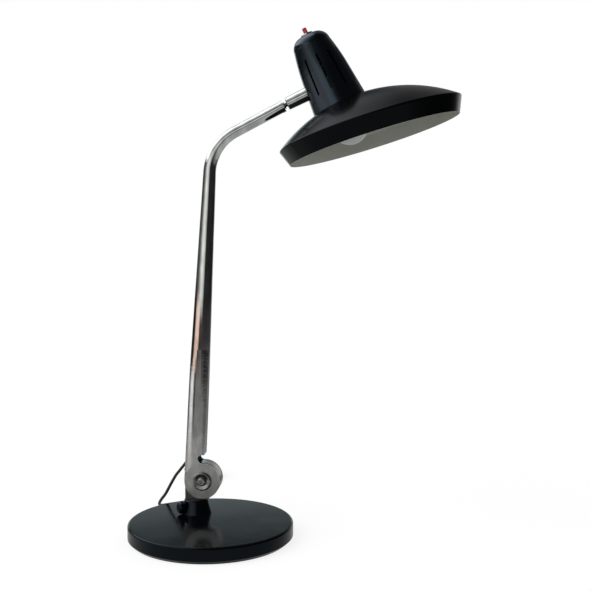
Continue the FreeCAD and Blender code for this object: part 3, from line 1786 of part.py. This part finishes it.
def make_plug():
    long = plug_length
    half = plug_width / 2
    rear = plug_rear_width / 2
    body = new_body("plug_body")
    drawn = new_sketch(body, "XY_Plane")
    outline(
        drawn,
        [
            (0, -half),
            (0, half),
            (-long * plug_side_share, half),
            (-long, rear),
            (-long, -rear),
            (-long * plug_side_share, -half),
        ],
    )
    pad(body, drawn, "plug_pad", plug_thickness, "both")
    names = []
    for number, edge in enumerate(body.Shape.Edges):
        if abs(edge.CenterOfMass.x) > 1e-6:
            names.append("Edge" + str(number + 1))
    round_edges(body, "plug_pad", names, plug_edge_round)
    neck = new_body("plug_neck")
    neck_sketch = new_sketch(neck, "XZ_Plane")
    outline(
        neck_sketch,
        [
            (-long - plug_neck_length, 0),
            (-long + plug_edge_round, 0),
            (-long + plug_edge_round, plug_neck_diameter / 2 + plug_edge_round),
            (-long - plug_neck_length, cord_diameter / 2 + plug_edge_round / 4),
        ],
    )
    spin = neck.newObject("PartDesign::Revolution", "plug_neck_turned")
    spin.Profile = neck_sketch
    spin.ReferenceAxis = (neck_sketch, ["H_Axis"])
    spin.Angle = 360
    joined = doc.addObject("Part::Fuse", "plug_joined")
    joined.Base = body
    joined.Tool = neck
    doc.recompute()
    place(joined, plug_x, plug_y, plug_thickness / 2, Vector(0, 0, 1), plug_turn - quarter_turn)
    body.Label = "plug_blank"
    pin_holes = new_pins("plug_pin_holes")
    cut("plug_body", joined, [pin_holes])
    made.append(new_pins("plug_pins"))


plug_side_share = Size("0.55", 0.55)


def new_pins(label):
    """Two round pins as one group, from inside the plug's face outwards."""
    body = new_body(label)
    body.AllowCompound = True
    drawn = new_sketch(body, "YZ_Plane")
    ring(drawn, pin_diameter / 2, pin_spacing / 2, 0)
    ring(drawn, pin_diameter / 2, -pin_spacing / 2, 0)
    pad(body, drawn, label + "_out", pin_length, "over")
    pad(body, drawn, label + "_in", pin_depth, "under")
    place(body, plug_x, plug_y, plug_thickness / 2, Vector(0, 0, 1), plug_turn - quarter_turn)
    return body


def make_tie():
    """A flat band round all the coil's turns at one side."""
    winding = coil_pitch * coil_layer_turns
    radial = winding / 2 + cord_diameter / 2 + coil_climb_swell + tie_slack
    height = coil_pitch * 3 + cord_diameter + tie_slack
    middle = coil_mean_diameter / 2
    wall = tie_thickness
    low = tie_thickness
    body = new_body("cord_tie")
    drawn = new_sketch(body, "XZ_Plane")
    outline(
        drawn,
        [
            (middle - radial - wall, low - wall),
            (middle + radial + wall, low - wall),
            (middle + radial + wall, low + height + wall),
            (middle - radial - wall, low + height + wall),
        ],
    )
    outline(
        drawn,
        [
            (middle - radial, low),
            (middle + radial, low),
            (middle + radial, low + height),
            (middle - radial, low + height),
        ],
    )
    pad(body, drawn, "tie_band", tie_width, "both")
    made.append(body)
    place(body, coil_x, coil_y, 0, Vector(0, 0, 1), tie_turn)


def make_leads():
    """The wires inside: up the arm, and from the sleeve and the holder to the switch."""
    lean = math.radians(plain(arm_lean))
    hinge = hinge_in_arm()
    turn = 90 - plain(arm_rise) - plain(arm_lean)
    tangent = plain(arm_bend_radius) * math.tan(math.radians(turn / 2))
    onward = Vector(math.sin(math.radians(turn)), 0, math.cos(math.radians(turn)))
    across = plain(exit_across)
    start = Vector(across, plain(arm_foot_width) / 2 - plain(arm_wall) * 2, -plain(exit_drop))
    foot = Vector(across, 0, -plain(exit_drop))
    middle = Vector(0, 0, -plain(arm_waist_drop))
    end = onward * plain(arm_upper_length - ferrule_plug_length - clip_setback * 4)
    path, radii = tube_path([start, foot, middle, Vector(), end])
    arm_lead = tube("arm_lead", path, plain(lead_diameter))
    in_arm(arm_lead)
    # From inside the sleeve's spigot, up between the housing and the lampholder
    switch = plain(switch_bottom_height)
    top = plain(holder_top_height)
    wire = plain(wire_diameter)
    height = plain(sleeve_height)
    inlet = plain(spigot_length - housing_radius_at_sleeve) - wire * lead_inset_share
    side = -plain(holder_radius) - wire * lead_clear_share
    path, radii = tube_path(
        [
            Vector(inlet, 0, height),
            Vector(side, 0, height),
            Vector(side, 0, top),
            Vector(-wire * 2, 0, (switch + top) / 2),
            Vector(-wire * 2, 0, switch),
        ]
    )
    in_head(tube("switch_lead", path, wire))
    in_head(
        turned(
            "holder_lead",
            [
                (0, insert_start + insert_height),
                (wire_diameter / 2, insert_start + insert_height),
                (wire_diameter / 2, switch_bottom_height),
                (0, switch_bottom_height),
            ],
        )
    )


lead_inset_share = 1.5
lead_clear_share = 1.2


def check_and_write():
    doc.recompute()
    for piece in doc.Objects:
        if "Invalid" in piece.State or "Error" in piece.State:
            raise ValueError(piece.Label + " failed to build")
    os.makedirs("parts", exist_ok=True)
    for piece in made:
        shape = piece.Shape
        if shape.isNull() or not shape.isValid() or not shape.Solids:
            raise ValueError(piece.Label + " is not a sound solid")
        shape.exportStep("parts/" + piece.Label + ".step")
        print(piece.Label, "solids", len(shape.Solids), "volume", round(shape.Volume, 1))


doc.recompute()
make_base()
make_boss()
make_lock_screw()
make_boss_screws()
make_ear()
make_swivel()
make_hinge_hardware()
make_arm()
make_arm_end()
make_sleeve()
make_socket_spring()
make_housing()
make_shade()
make_lampholder(make_clamp())
make_switch()
make_cords()
make_plug()
make_tie()
make_leads()
check_and_write()
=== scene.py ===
import json
import math

import bpy
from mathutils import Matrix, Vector


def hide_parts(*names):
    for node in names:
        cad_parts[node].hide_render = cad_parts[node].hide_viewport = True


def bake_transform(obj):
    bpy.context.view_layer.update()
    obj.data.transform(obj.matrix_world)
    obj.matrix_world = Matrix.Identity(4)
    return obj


# A desk lamp on a plain studio floor. Lengths are in metres, except where millimetres are
# named. Zero is under the middle of the foot, +X is towards the shade and +Z is up.

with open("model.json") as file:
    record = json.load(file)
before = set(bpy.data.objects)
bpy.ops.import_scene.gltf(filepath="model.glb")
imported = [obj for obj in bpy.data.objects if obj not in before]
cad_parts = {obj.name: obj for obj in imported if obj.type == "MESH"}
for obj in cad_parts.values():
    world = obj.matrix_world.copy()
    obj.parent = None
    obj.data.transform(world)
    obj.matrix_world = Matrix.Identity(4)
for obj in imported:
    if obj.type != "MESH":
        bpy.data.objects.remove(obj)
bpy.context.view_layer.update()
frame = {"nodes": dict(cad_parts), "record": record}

MM = 0.001


def millimetres(points):
    return [Vector(point) * MM for point in points]


# The camera, at the photograph's place and angle
CAMERA_PLACE = Vector((0.176477, -1.006211, 0.332276))
CAMERA_YAW = math.radians(4.751)
CAMERA_PITCH = math.radians(-3.79)
CAMERA_LENS = 57.72
CAMERA_SENSOR_WIDTH = 36
CAMERA_NEAREST = 0.01


def make_camera():
    data = bpy.data.cameras.new("photo_camera")
    data.sensor_width = CAMERA_SENSOR_WIDTH
    data.lens = CAMERA_LENS
    data.clip_start = CAMERA_NEAREST
    camera = bpy.data.objects.new("photo_camera", data)
    camera.location = CAMERA_PLACE
    camera.rotation_euler = (math.pi / 2 + CAMERA_PITCH, 0, CAMERA_YAW)
    bpy.context.collection.objects.link(camera)
    bpy.context.scene.camera = camera
    bpy.context.scene.view_settings.view_transform = "Standard"


make_camera()

# The cord: its strain relief's tip, its way down behind the foot, its coil and its plug.
# Points and the coil's measures are in millimetres.
CORD_DIAMETER = 3.5 * MM
CORD_EXIT = (-28.96, 64, 79)
UPPER_ROUTE = [
    (-29.1, 72, 78.9),
    (-31.2, 79.4, 76.7),
    (-35.2, 85, 72.4),
    (-40.9, 88, 65.4),
    (-48.2, 88.4, 56),
    (-57, 87.6, 45),
]
LOWER_ROUTE = [
    (-57, 87.6, 45),
    (-63.4, 86.6, 34),
    (-69, 86, 22.5),
    (-74.9, 87.4, 15.3),
    (-79, 92.9, 8.7),
    (-79.7, 101.6, 3.8),
    (-76, 110.6, 1.75),
    (-66.3, 118.9, 1.75),
    (-52.1, 119.5, 1.75),
    (-39, 124, 1.75),
    (-32, 136, 1.75),
    (-29.8, 156, 1.75),
    (-29.6, 184, 1.8),
    (-31, 214, 2.3),
]
TAIL_ROUTE = [
    (-76, 237, 14.1),
    (-72.4, 228.2, 12.4),
    (-66.2, 220.6, 10.2),
    (-59.2, 213.6, 8.1),
    (-54.4, 204.6, 6.9),
]
PLUG_REAR = (-52.37, 194.65, 6.8)
COIL_CENTRE = Vector((-54.2, 250, 2.5))
COIL_MEAN_RADIUS = 17.5
COIL_PITCH = 3.94
COIL_LAYERS = 4
COIL_LAYER_TURNS = 2.25
COIL_CLIMB_TURNS = 0.5
COIL_CLIMB_SWELL = 0.75
COIL_POINTS_PER_TURN = 20
COIL_CONTROL_SHARE = 0.8
CORD_STEPS_PER_POINT = 6
CORD_ROUNDING = 5


def coil_point(turns):
    """A point of the coil: two layers wind in and two wind out."""
    cycle = COIL_LAYER_TURNS + COIL_CLIMB_TURNS
    layer = min(int(turns / cycle), COIL_LAYERS - 1)
    into = turns - layer * cycle
    wound = min(into, COIL_LAYER_TURNS)
    share = (into - wound) / COIL_CLIMB_TURNS
    height = (layer + share * share * (3 - 2 * share)) * COIL_PITCH
    swell = COIL_CLIMB_SWELL * math.sin(math.pi * share)
    spread = COIL_PITCH * COIL_LAYER_TURNS
    if layer % 2:
        radius = COIL_MEAN_RADIUS - spread / 2 + COIL_PITCH * wound + swell
    else:
        radius = COIL_MEAN_RADIUS + spread / 2 - COIL_PITCH * wound - swell
    # Control points stand a little outside the line that they draw
    radius = radius / math.cos(math.pi / COIL_POINTS_PER_TURN * COIL_CONTROL_SHARE)
    angle = 2 * math.pi * turns
    return COIL_CENTRE + Vector((radius * math.cos(angle), radius * math.sin(angle), height))


def coil_points():
    total = COIL_LAYERS * COIL_LAYER_TURNS + (COIL_LAYERS - 1) * COIL_CLIMB_TURNS
    steps = round(total * COIL_POINTS_PER_TURN)
    return [coil_point(total * number / steps) for number in range(steps + 1)]


def cord_curve(name, points, bevel):
    """The mesh of a smooth line that the points control: a tube if it has a bevel."""
    data = bpy.data.curves.new(name + "_line", "CURVE")
    data.dimensions = "3D"
    spline = data.splines.new("NURBS")
    spline.points.add(len(points) - 1)
    for place, point in zip(spline.points, points):
        place.co = (point.x, point.y, point.z, 1)
    spline.order_u = 3
    spline.use_endpoint_u = True
    spline.resolution_u = CORD_STEPS_PER_POINT
    data.bevel_depth = bevel
    data.bevel_resolution = CORD_ROUNDING
    data.use_fill_caps = bevel > 0
    curve = bpy.data.objects.new(name + "_line", data)
    bpy.context.collection.objects.link(curve)
    bpy.context.view_layer.update()
    mesh = bpy.data.meshes.new_from_object(curve)
    bpy.data.objects.remove(curve)
    return mesh


def make_cord(name, points):
    """A round tube along a smooth line, with the points of that line."""
    line = cord_curve(name, points, 0)
    path = [vertex.co.copy() for vertex in line.vertices]
    mesh = cord_curve(name, points, CORD_DIAMETER / 2)
    piece = bpy.data.objects.new(name, mesh)
    bpy.context.collection.objects.link(piece)
    for polygon in mesh.polygons:
        polygon.use_smooth = True
    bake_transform(piece)
    return piece, path


def make_cords():
    upper_points = millimetres([CORD_EXIT] + UPPER_ROUTE)
    upper, upper_path = make_cord(
        "mains_cord_upper", upper_points
    )
    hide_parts("cord_upper")
    lower_points = millimetres(LOWER_ROUTE + coil_points() + TAIL_ROUTE + [PLUG_REAR])
    lower, lower_path = make_cord(
        "mains_cord",
        lower_points,
    )
    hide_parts("cord_lower", "cord_coil", "cord_tail")
    return upper, lower


cords = make_cords()


# Materials, each a small node tree

# Most of a noise lies between these two
NOISE_LOW = 0.3
NOISE_HIGH = 0.7
# The sockets of a Mix node for its share and its two colours, and for what it gives
MIX_INPUTS = (0, 6, 7)
MIX_RESULT = 2


class Nodes:
    """A node tree whose nodes are added one by one."""

    def __init__(self, tree):
        self.tree = tree

    def add(self, kind, **settings):
        node = self.tree.nodes.new(kind)
        for key, value in settings.items():
            setattr(node, key, value)
        return node

    def link(self, start, end):
        self.tree.links.new(start, end)

    def fill(self, sockets, values):
        """Link each value that comes out of a node and write each plain one."""
        for socket, value in zip(sockets, values):
            if isinstance(value, bpy.types.NodeSocket):
                self.link(value, socket)
            else:
                socket.default_value = value

    def math(self, operation, *values):
        node = self.add("ShaderNodeMath", operation=operation)
        self.fill(node.inputs, values)
        return node.outputs[0]

    def remap(self, value, low, high, from_low=NOISE_LOW, from_high=NOISE_HIGH, **settings):
        node = self.add("ShaderNodeMapRange", **settings)
        node.inputs["From Min"].default_value = from_low
        node.inputs["From Max"].default_value = from_high
        node.inputs["To Min"].default_value = low
        node.inputs["To Max"].default_value = high
        self.link(value, node.inputs["Value"])
        return node.outputs["Result"]

    def ramp(self, value, stops):
        node = self.add("ShaderNodeValToRGB")
        elements = node.color_ramp.elements
        while len(elements) < len(stops):
            elements.new(0.5)
        for element, (position, colour) in zip(elements, stops):
            element.position = position
            element.color = (*colour, 1)
        self.link(value, node.inputs["Fac"])
        return node.outputs["Color"]

    def mix(self, share, first, second):
        """The first colour where the share is nought, the second where it is one."""
        node = self.add("ShaderNodeMix", data_type="RGBA")
        self.fill([node.inputs[number] for number in MIX_INPUTS], (share, first, second))
        return node.outputs[MIX_RESULT]

    def mix_shaders(self, share, first, second):
        node = self.add("ShaderNodeMixShader")
        self.fill(node.inputs, (share, first.outputs[0], second.outputs[0]))
        return node

    def seen(self, rays):
        """One on what the camera sees, straight or through glass."""
        return self.math(
            "MAXIMUM", rays.outputs["Is Camera Ray"], rays.outputs["Is Transmission Ray"]
        )


class Shader(Nodes):
    """A material's node tree, with what most of the materials need."""

    def __init__(self, name, **values):
        self.material = bpy.data.materials.new(name)
        self.material.use_nodes = True
        super().__init__(self.material.node_tree)
        self.principled = self.tree.nodes["Principled BSDF"]
        for key, value in values.items():
            self.principled.inputs[key.replace("_", " ")].default_value = value

    def noise(self, scale, detail=4.0, stretch=None):
        """Noise in the piece's own space, finer along some axes if it is stretched."""
        texture = self.add("ShaderNodeTexNoise")
        texture.inputs["Scale"].default_value = scale
        texture.inputs["Detail"].default_value = detail
        coordinates = self.add("ShaderNodeTexCoord").outputs["Object"]
        if stretch is not None:
            mapping = self.add("ShaderNodeMapping")
            mapping.inputs["Scale"].default_value = stretch
            self.link(coordinates, mapping.inputs["Vector"])
            coordinates = mapping.outputs["Vector"]
        self.link(coordinates, texture.inputs["Vector"])
        return texture.outputs["Fac"]

    def height(self):
        """How high a spot lies on the piece as it stands at rest."""
        split = self.add("ShaderNodeSeparateXYZ")
        self.link(self.add("ShaderNodeTexCoord").outputs["Object"], split.inputs[0])
        return split.outputs["Z"]

    def tones(self, noise, low, high):
        """Colours from one to another, patch by patch."""
        return self.ramp(noise, [(NOISE_LOW, low), (NOISE_HIGH, high)])

    def colour(self, noise, low, high):
        self.link(self.tones(noise, low, high), self.principled.inputs["Base Color"])

    def roughness(self, noise, low, high):
        self.link(self.remap(noise, low, high), self.principled.inputs["Roughness"])

    def bump(self, value, strength, distance):
        node = self.add("ShaderNodeBump")
        node.inputs["Strength"].default_value = strength
        node.inputs["Distance"].default_value = distance
        self.link(value, node.inputs["Height"])
        self.link(node.outputs["Normal"], self.principled.inputs["Normal"])


WORN_UP_TO = 0.075
POLISHED_FROM = 0.14
POLISHED_WEAR = 0.12


def chrome():
    """Scratched low down round the hinge and polished above it."""
    shader = Shader("polished_chrome", Metallic=1.0)
    patches = shader.noise(110, 6.0, (1.0, 1.0, 0.4))
    shader.colour(patches, (0.42, 0.422, 0.42), (0.73, 0.733, 0.73))
    wear = shader.remap(shader.height(), 1.0, POLISHED_WEAR, WORN_UP_TO, POLISHED_FROM)
    rough = shader.math("MULTIPLY", shader.remap(patches, 0.28, 0.44), wear)
    shader.link(rough, shader.principled.inputs["Roughness"])
    scratches = shader.noise(420, 5.0, (2.4, 1.0, 0.35))
    shader.bump(shader.math("MULTIPLY", scratches, wear), 0.1, 0.0003)
    return shader.material


def worn_chrome():
    shader = Shader("worn_chrome", Metallic=1.0)
    patches = shader.noise(90, 6.0)
    shader.colour(patches, (0.18, 0.18, 0.175), (0.34, 0.34, 0.33))
    shader.roughness(patches, 0.28, 0.16)
    shader.bump(shader.noise(1400, 3.0), 0.08, 0.0002)
    return shader.material


def steel():
    shader = Shader("blackened_steel", Metallic=1.0)
    shader.colour(shader.noise(200), (0.07, 0.07, 0.07), (0.12, 0.12, 0.12))
    shader.roughness(shader.noise(300), 0.25, 0.4)
    return shader.material


def brass():
    shader = Shader("turned_brass", Metallic=1.0)
    shader.colour(shader.noise(150), (0.5, 0.34, 0.13), (0.68, 0.48, 0.2))
    shader.roughness(shader.noise(400), 0.22, 0.36)
    return shader.material


# Painted light colour: blue casts on the reflections of the black paints. They make the room's
# pinkish light read grey and the highlights bluish, where real paint reflects the light's own
# colour.
PAINT_BLUE_REFLECTION_CAST = (0.6, 0.78, 1.0, 1)
SHADE_BLUE_REFLECTION_CAST = (0.85, 0.93, 1.0, 1)


def black_paint(name, colours, roughness, orange_peel, gloss):
    # The reflections get a painted blue cast
    shader = Shader(name, Specular_IOR_Level=gloss, Specular_Tint=PAINT_BLUE_REFLECTION_CAST)
    haze = shader.noise(30, 5.0)
    shader.colour(haze, *colours)
    shader.roughness(haze, *roughness)
    shader.bump(shader.noise(700, 2.0), orange_peel, 0.0003)
    return shader.material


def felt():
    shader = Shader("green_felt", Roughness=0.95)
    fibres = shader.noise(1800, 6.0)
    shader.colour(fibres, (0.012, 0.02, 0.014), (0.05, 0.07, 0.05))
    shader.bump(fibres, 0.6, 0.0006)
    return shader.material


def plastic(name, colours, roughness):
    shader = Shader(name)
    grain = shader.noise(500, 3.0)
    shader.colour(grain, *colours)
    shader.roughness(grain, *roughness)
    shader.bump(grain, 0.05, 0.0002)
    return shader.material


def ceramic():
    shader = Shader("glazed_ceramic", Roughness=0.25)
    shader.colour(shader.noise(120), (0.7, 0.68, 0.62), (0.82, 0.8, 0.76))
    return shader.material


def frosted_glass():
    shader = Shader("frosted_glass", Subsurface_Weight=0.15, Subsurface_Scale=0.01)
    frost = shader.noise(1200, 4.0)
    shader.colour(frost, (0.78, 0.78, 0.75), (0.86, 0.86, 0.83))
    shader.roughness(frost, 0.3, 0.45)
    return shader.material


def cord_jacket():
    shader = Shader("cord_jacket")
    scuffs = shader.noise(350, 5.0)
    shader.colour(scuffs, (0.006, 0.006, 0.006), (0.018, 0.018, 0.018))
    shader.roughness(scuffs, 0.35, 0.55)
    return shader.material


INSIDE_POINT = Vector((0.186, 0.033, 0.40))
OUTSIDE_ROUGHNESS = 0.2
INSIDE_ROUGHNESS = 0.7


def shade_paint():
    """Satin black outside and matt off-white inside, told apart by the way to the middle."""
    # The reflections get a painted blue cast
    shader = Shader("shade_paint", Specular_IOR_Level=0.1, Specular_Tint=SHADE_BLUE_REFLECTION_CAST)
    haze = shader.noise(24, 5.0)
    outside = shader.tones(haze, (0.0006, 0.0009, 0.001), (0.0012, 0.0016, 0.0017))
    inside = shader.tones(haze, (0.63, 0.63, 0.595), (0.7, 0.7, 0.66))
    # The inside is where the surface looks towards a point in the shade's own space
    own = shader.add("ShaderNodeTexCoord")
    towards = shader.add("ShaderNodeVectorMath", operation="SUBTRACT")
    shader.fill(towards.inputs, (INSIDE_POINT, own.outputs["Object"]))
    facing = shader.add("ShaderNodeVectorMath", operation="DOT_PRODUCT")
    shader.fill(facing.inputs, (towards.outputs["Vector"], own.outputs["Normal"]))
    within = shader.math("GREATER_THAN", facing.outputs["Value"], 0.0)
    shader.link(shader.mix(within, outside, inside), shader.principled.inputs["Base Color"])
    rough = shader.remap(within, OUTSIDE_ROUGHNESS, INSIDE_ROUGHNESS, 0.0, 1.0)
    shader.link(rough, shader.principled.inputs["Roughness"])
    shader.bump(shader.noise(60, 3.0), 0.03, 0.0003)
    return shader.material


MATERIALS = {
    "chrome": chrome(),
    "worn_chrome": worn_chrome(),
    "steel": steel(),
    "brass": brass(),
    "ceramic": ceramic(),
    "felt": felt(),
    "frosted_glass": frosted_glass(),
    "cord_jacket": cord_jacket(),
    "shade_paint": shade_paint(),
    "black_paint": black_paint(
        "gloss_black_paint",
        colours=((0.0005, 0.0008, 0.0014), (0.0008, 0.0012, 0.002)),
        roughness=(0.15, 0.21),
        orange_peel=0.01,
        gloss=0.72,
    ),
    "base_paint": black_paint(
        "satin_black_paint",
        colours=((0.001, 0.0014, 0.0016), (0.002, 0.0027, 0.003)),
        roughness=(0.1, 0.15),
        orange_peel=0.015,
        gloss=0.18,
    ),
    "black_plastic": black_paint(
        "gloss_black_plastic",
        colours=((0.001, 0.0014, 0.0022), (0.002, 0.003, 0.0042)),
        roughness=(0.12, 0.2),
        orange_peel=0.01,
        gloss=0.26,
    ),
    "dark_washer": plastic(
        "dark_washer",
        colours=((0.008, 0.008, 0.008), (0.02, 0.02, 0.02)),
        roughness=(0.5, 0.7),
    ),
    "holder_plastic": plastic(
        "holder_plastic",
        colours=((0.012, 0.012, 0.012), (0.022, 0.022, 0.022)),
        roughness=(0.3, 0.45),
    ),
    "switch_plastic": plastic(
        "switch_plastic",
        colours=((0.02, 0.02, 0.02), (0.04, 0.04, 0.04)),
        roughness=(0.35, 0.5),
    ),
    "plug_plastic": plastic(
        "plug_plastic",
        colours=((0.008, 0.008, 0.008), (0.016, 0.016, 0.016)),
        roughness=(0.3, 0.4),
    ),
    "red_plastic": plastic(
        "red_plastic",
        colours=((0.42, 0.035, 0.05), (0.52, 0.05, 0.07)),
        roughness=(0.3, 0.42),
    ),
}


def dress(piece, slot):
    """Give every face of a piece one material."""
    piece.data.materials.clear()
    piece.data.materials.append(MATERIALS[slot])


def dress_nodes():
    for part in frame["record"]["subparts"]:
        node = frame["nodes"][part["node"]]
        for place in node.material_slots:
            place.material = MATERIALS[part["material_slot"]]


for cord in cords:
    dress(cord, "cord_jacket")
dress_nodes()


# The stage: a pale floor, one soft sun and the room that the metal reflects

FLOOR_WIDTH = 60
TABLE_COLOUR = (0.36, 0.36, 0.35, 1)
SEEN_COLOUR = (0.96, 0.96, 0.96, 1)
FLOOR_GLOW = 1.05
FLOOR_GLOW_SHARE = 0.78


def make_floor():
    """Pale to the eye, with the lamp's shadow; a mid-grey table to the light it gives back."""
    bpy.ops.mesh.primitive_plane_add(size=FLOOR_WIDTH, location=(0, 0, 0))
    floor = bpy.context.object
    floor.name = "studio_floor"
    floor.visible_glossy = False
    shader = Shader(
        "studio_floor", Roughness=1.0, Base_Color=TABLE_COLOUR, Specular_IOR_Level=0.0
    )
    pale = shader.add("ShaderNodeBsdfDiffuse")
    pale.inputs["Color"].default_value = SEEN_COLOUR
    glow = shader.add("ShaderNodeEmission")
    glow.inputs["Strength"].default_value = FLOOR_GLOW
    eye = shader.mix_shaders(FLOOR_GLOW_SHARE, pale, glow)
    seen = shader.seen(shader.add("ShaderNodeLightPath"))
    both = shader.mix_shaders(seen, shader.principled, eye)
    shader.link(both.outputs[0], shader.tree.nodes["Material Output"].inputs["Surface"])
    floor.data.materials.append(shader.material)


SUN_WAY = (-0.66, -0.36, 0.66)
SUN_STRENGTH = 1.7
SUN_SPREAD = math.radians(58)
SUN_COLOUR = (0.97, 0.985, 1.0)


def make_sun():
    """It lights the paint, but the metal shows the room alone."""
    data = bpy.data.lights.new("soft_sun", "SUN")
    data.energy = SUN_STRENGTH
    data.angle = SUN_SPREAD
    data.color = SUN_COLOUR
    sun = bpy.data.objects.new("soft_sun", data)
    sun.visible_glossy = False
    sun.rotation_euler = Vector(SUN_WAY).to_track_quat("Z", "Y").to_euler()
    bpy.context.collection.objects.link(sun)


# What the metal sees all round: how many degrees a way turns from the front, towards the
# right if more than nought, and its colour
ROOM_ABOVE = [
    (-180, (0.92, 1.06, 1.08)),
    (-148, (0.88, 1.0, 1.02)),
    (-138, (0.05, 0.05, 0.05)),
    (-94, (0.1, 0.1, 0.1)),
    (-76, (0.16, 0.165, 0.155)),
    (-64, (0.4, 0.41, 0.38)),
    (-32, (1.2, 1.22, 1.16)),
    (-6, (0.8, 0.82, 0.78)),
    (6, (0.4, 0.4, 0.38)),
    (12, (0.03, 0.03, 0.03)),
    (120, (0.02, 0.02, 0.022)),
    (138, (0.05, 0.05, 0.05)),
    (152, (0.8, 0.8, 0.8)),
    (180, (0.85, 0.85, 0.85)),
]
ROOM_HIGH = [
    (-180, (0.15, 0.18, 0.185)),
    (-174, (0.03, 0.042, 0.044)),
    (-148, (0.03, 0.042, 0.044)),
    (-132, (2.0, 2.04, 2.08)),
    (-100, (2.4, 2.44, 2.48)),
    (-70, (1.7, 1.73, 1.75)),
    (-48, (0.7, 0.71, 0.7)),
    (-26, (0.4, 0.41, 0.39)),
    (-14, (0.1, 0.1, 0.1)),
    (12, (0.04, 0.04, 0.04)),
    (120, (0.02, 0.02, 0.022)),
    (150, (0.22, 0.22, 0.22)),
    (180, (0.22, 0.22, 0.22)),
]
ROOM_LEVEL = [
    (-180, (0.8, 0.8, 0.8)),
    (-148, (0.7, 0.7, 0.7)),
    (-138, (0.02, 0.02, 0.02)),
    (-86, (0.03, 0.025, 0.025)),
    (-74, (1.0, 0.7, 0.57)),
    (-50, (1.35, 0.98, 0.82)),
    (-28, (1.0, 0.7, 0.57)),
    (-20, (0.06, 0.035, 0.03)),
    (-10, (0.035, 0.03, 0.03)),
    (8, (0.07, 0.045, 0.042)),
    (60, (0.035, 0.035, 0.04)),
    (140, (0.05, 0.05, 0.05)),
    (156, (0.75, 0.75, 0.75)),
]
ROOM_BELOW = [
    (-180, (0.6, 0.6, 0.6)),
    (-160, (0.3, 0.3, 0.3)),
    (-140, (0.12, 0.12, 0.12)),
    (-104, (0.2, 0.2, 0.2)),
    (-88, (0.9, 0.89, 0.89)),
    (-58, (1.15, 1.14, 1.13)),
    (-42, (0.8, 0.79, 0.78)),
    (-30, (0.1, 0.095, 0.09)),
    (-20, (0.1, 0.095, 0.09)),
    (-13, (0.26, 0.26, 0.255)),
    (60, (0.24, 0.24, 0.235)),
    (120, (0.16, 0.16, 0.16)),
    (170, (0.2, 0.2, 0.2)),
]
# The share of the soft change from below to level, all round
ROOM_RIGHT = [
    (-180, (0, 0, 0)),
    (-26, (0, 0, 0)),
    (-16, (1, 1, 1)),
    (150, (1, 1, 1)),
    (165, (0, 0, 0)),
]
ROOM_CEILING = [
    (-180, (0.24, 0.24, 0.24)),
    (-150, (0.9, 0.92, 0.98)),
    (-118, (2.4, 2.5, 2.6)),
    (-90, (2.4, 2.5, 2.65)),
    (-58, (1.2, 1.25, 1.3)),
    (-20, (0.2, 0.2, 0.2)),
    (20, (0.05, 0.05, 0.05)),
    (60, (0.03, 0.03, 0.03)),
    (120, (0.05, 0.05, 0.05)),
    (155, (0.24, 0.24, 0.24)),
    (180, (0.24, 0.24, 0.24)),
]

ROOM_FLOOR = (0.5, 0.51, 0.51, 1)
WHITE = (1, 1, 1, 1)
FULL_WHITE = 1.0
PLAIN_LIGHT = 0.55

# How many degrees above the level each part of the room gives way to the next. From below to
# level, the change is sharp on the left and soft on the right.
FLOOR_TO_BELOW = (-16.5, -12)
BELOW_TO_LEVEL_LEFT = (-8.6, -6.6)
BELOW_TO_LEVEL_RIGHT = (-12, -2.5)
LEVEL_TO_ABOVE = (-4.2, -2.4)
ABOVE_TO_HIGH = (12.2, 18.0)
HIGH_TO_CEILING = (26, 46)
# The room leans with the column: so much of a way's X is added to its height
ROOM_LEAN = 0.064


def room_colour(nodes):
    """What the metal sees: the floor and five heights of the room, one above another."""
    ways = nodes.add("ShaderNodeSeparateXYZ")
    nodes.link(nodes.add("ShaderNodeTexCoord").outputs["Generated"], ways.inputs[0])
    front = nodes.math("MULTIPLY", ways.outputs["Y"], -1)
    turn = nodes.math("ARCTAN2", ways.outputs["X"], front)
    share = nodes.remap(turn, 0, 1, -math.pi, math.pi)
    height = nodes.math("MULTIPLY_ADD", ways.outputs["X"], ROOM_LEAN, ways.outputs["Z"])

    def band(degrees):
        low, high = (math.sin(math.radians(angle)) for angle in degrees)
        return nodes.remap(height, 0, 1, low, high, interpolation_type="SMOOTHSTEP")

    def wall(stops):
        return nodes.ramp(share, [((degrees + 180) / 360, colour) for degrees, colour in stops])

    room = nodes.mix(band(FLOOR_TO_BELOW), ROOM_FLOOR, wall(ROOM_BELOW))
    change = nodes.mix(wall(ROOM_RIGHT), band(BELOW_TO_LEVEL_LEFT), band(BELOW_TO_LEVEL_RIGHT))
    room = nodes.mix(change, room, wall(ROOM_LEVEL))
    room = nodes.mix(band(LEVEL_TO_ABOVE), room, wall(ROOM_ABOVE))
    room = nodes.mix(band(ABOVE_TO_HIGH), room, wall(ROOM_HIGH))
    return nodes.mix(band(HIGH_TO_CEILING), room, wall(ROOM_CEILING))


def make_world():
    """White to the camera, plain light on the paint, and a room for the metal to show."""
    world = bpy.data.worlds.new("studio_room")
    bpy.context.scene.world = world
    world.use_nodes = True
    nodes = Nodes(world.node_tree)

    def even_light(strength):
        node = nodes.add("ShaderNodeBackground")
        node.inputs["Color"].default_value = WHITE
        node.inputs["Strength"].default_value = strength
        return node

    reflected = nodes.tree.nodes["Background"]
    nodes.link(room_colour(nodes), reflected.inputs["Color"])
    rays = nodes.add("ShaderNodeLightPath")
    lit = nodes.mix_shaders(rays.outputs["Is Glossy Ray"], even_light(PLAIN_LIGHT), reflected)
    whole = nodes.mix_shaders(nodes.seen(rays), lit, even_light(FULL_WHITE))
    nodes.link(whole.outputs[0], nodes.tree.nodes["World Output"].inputs["Surface"])


make_floor()
make_sun()
make_world()
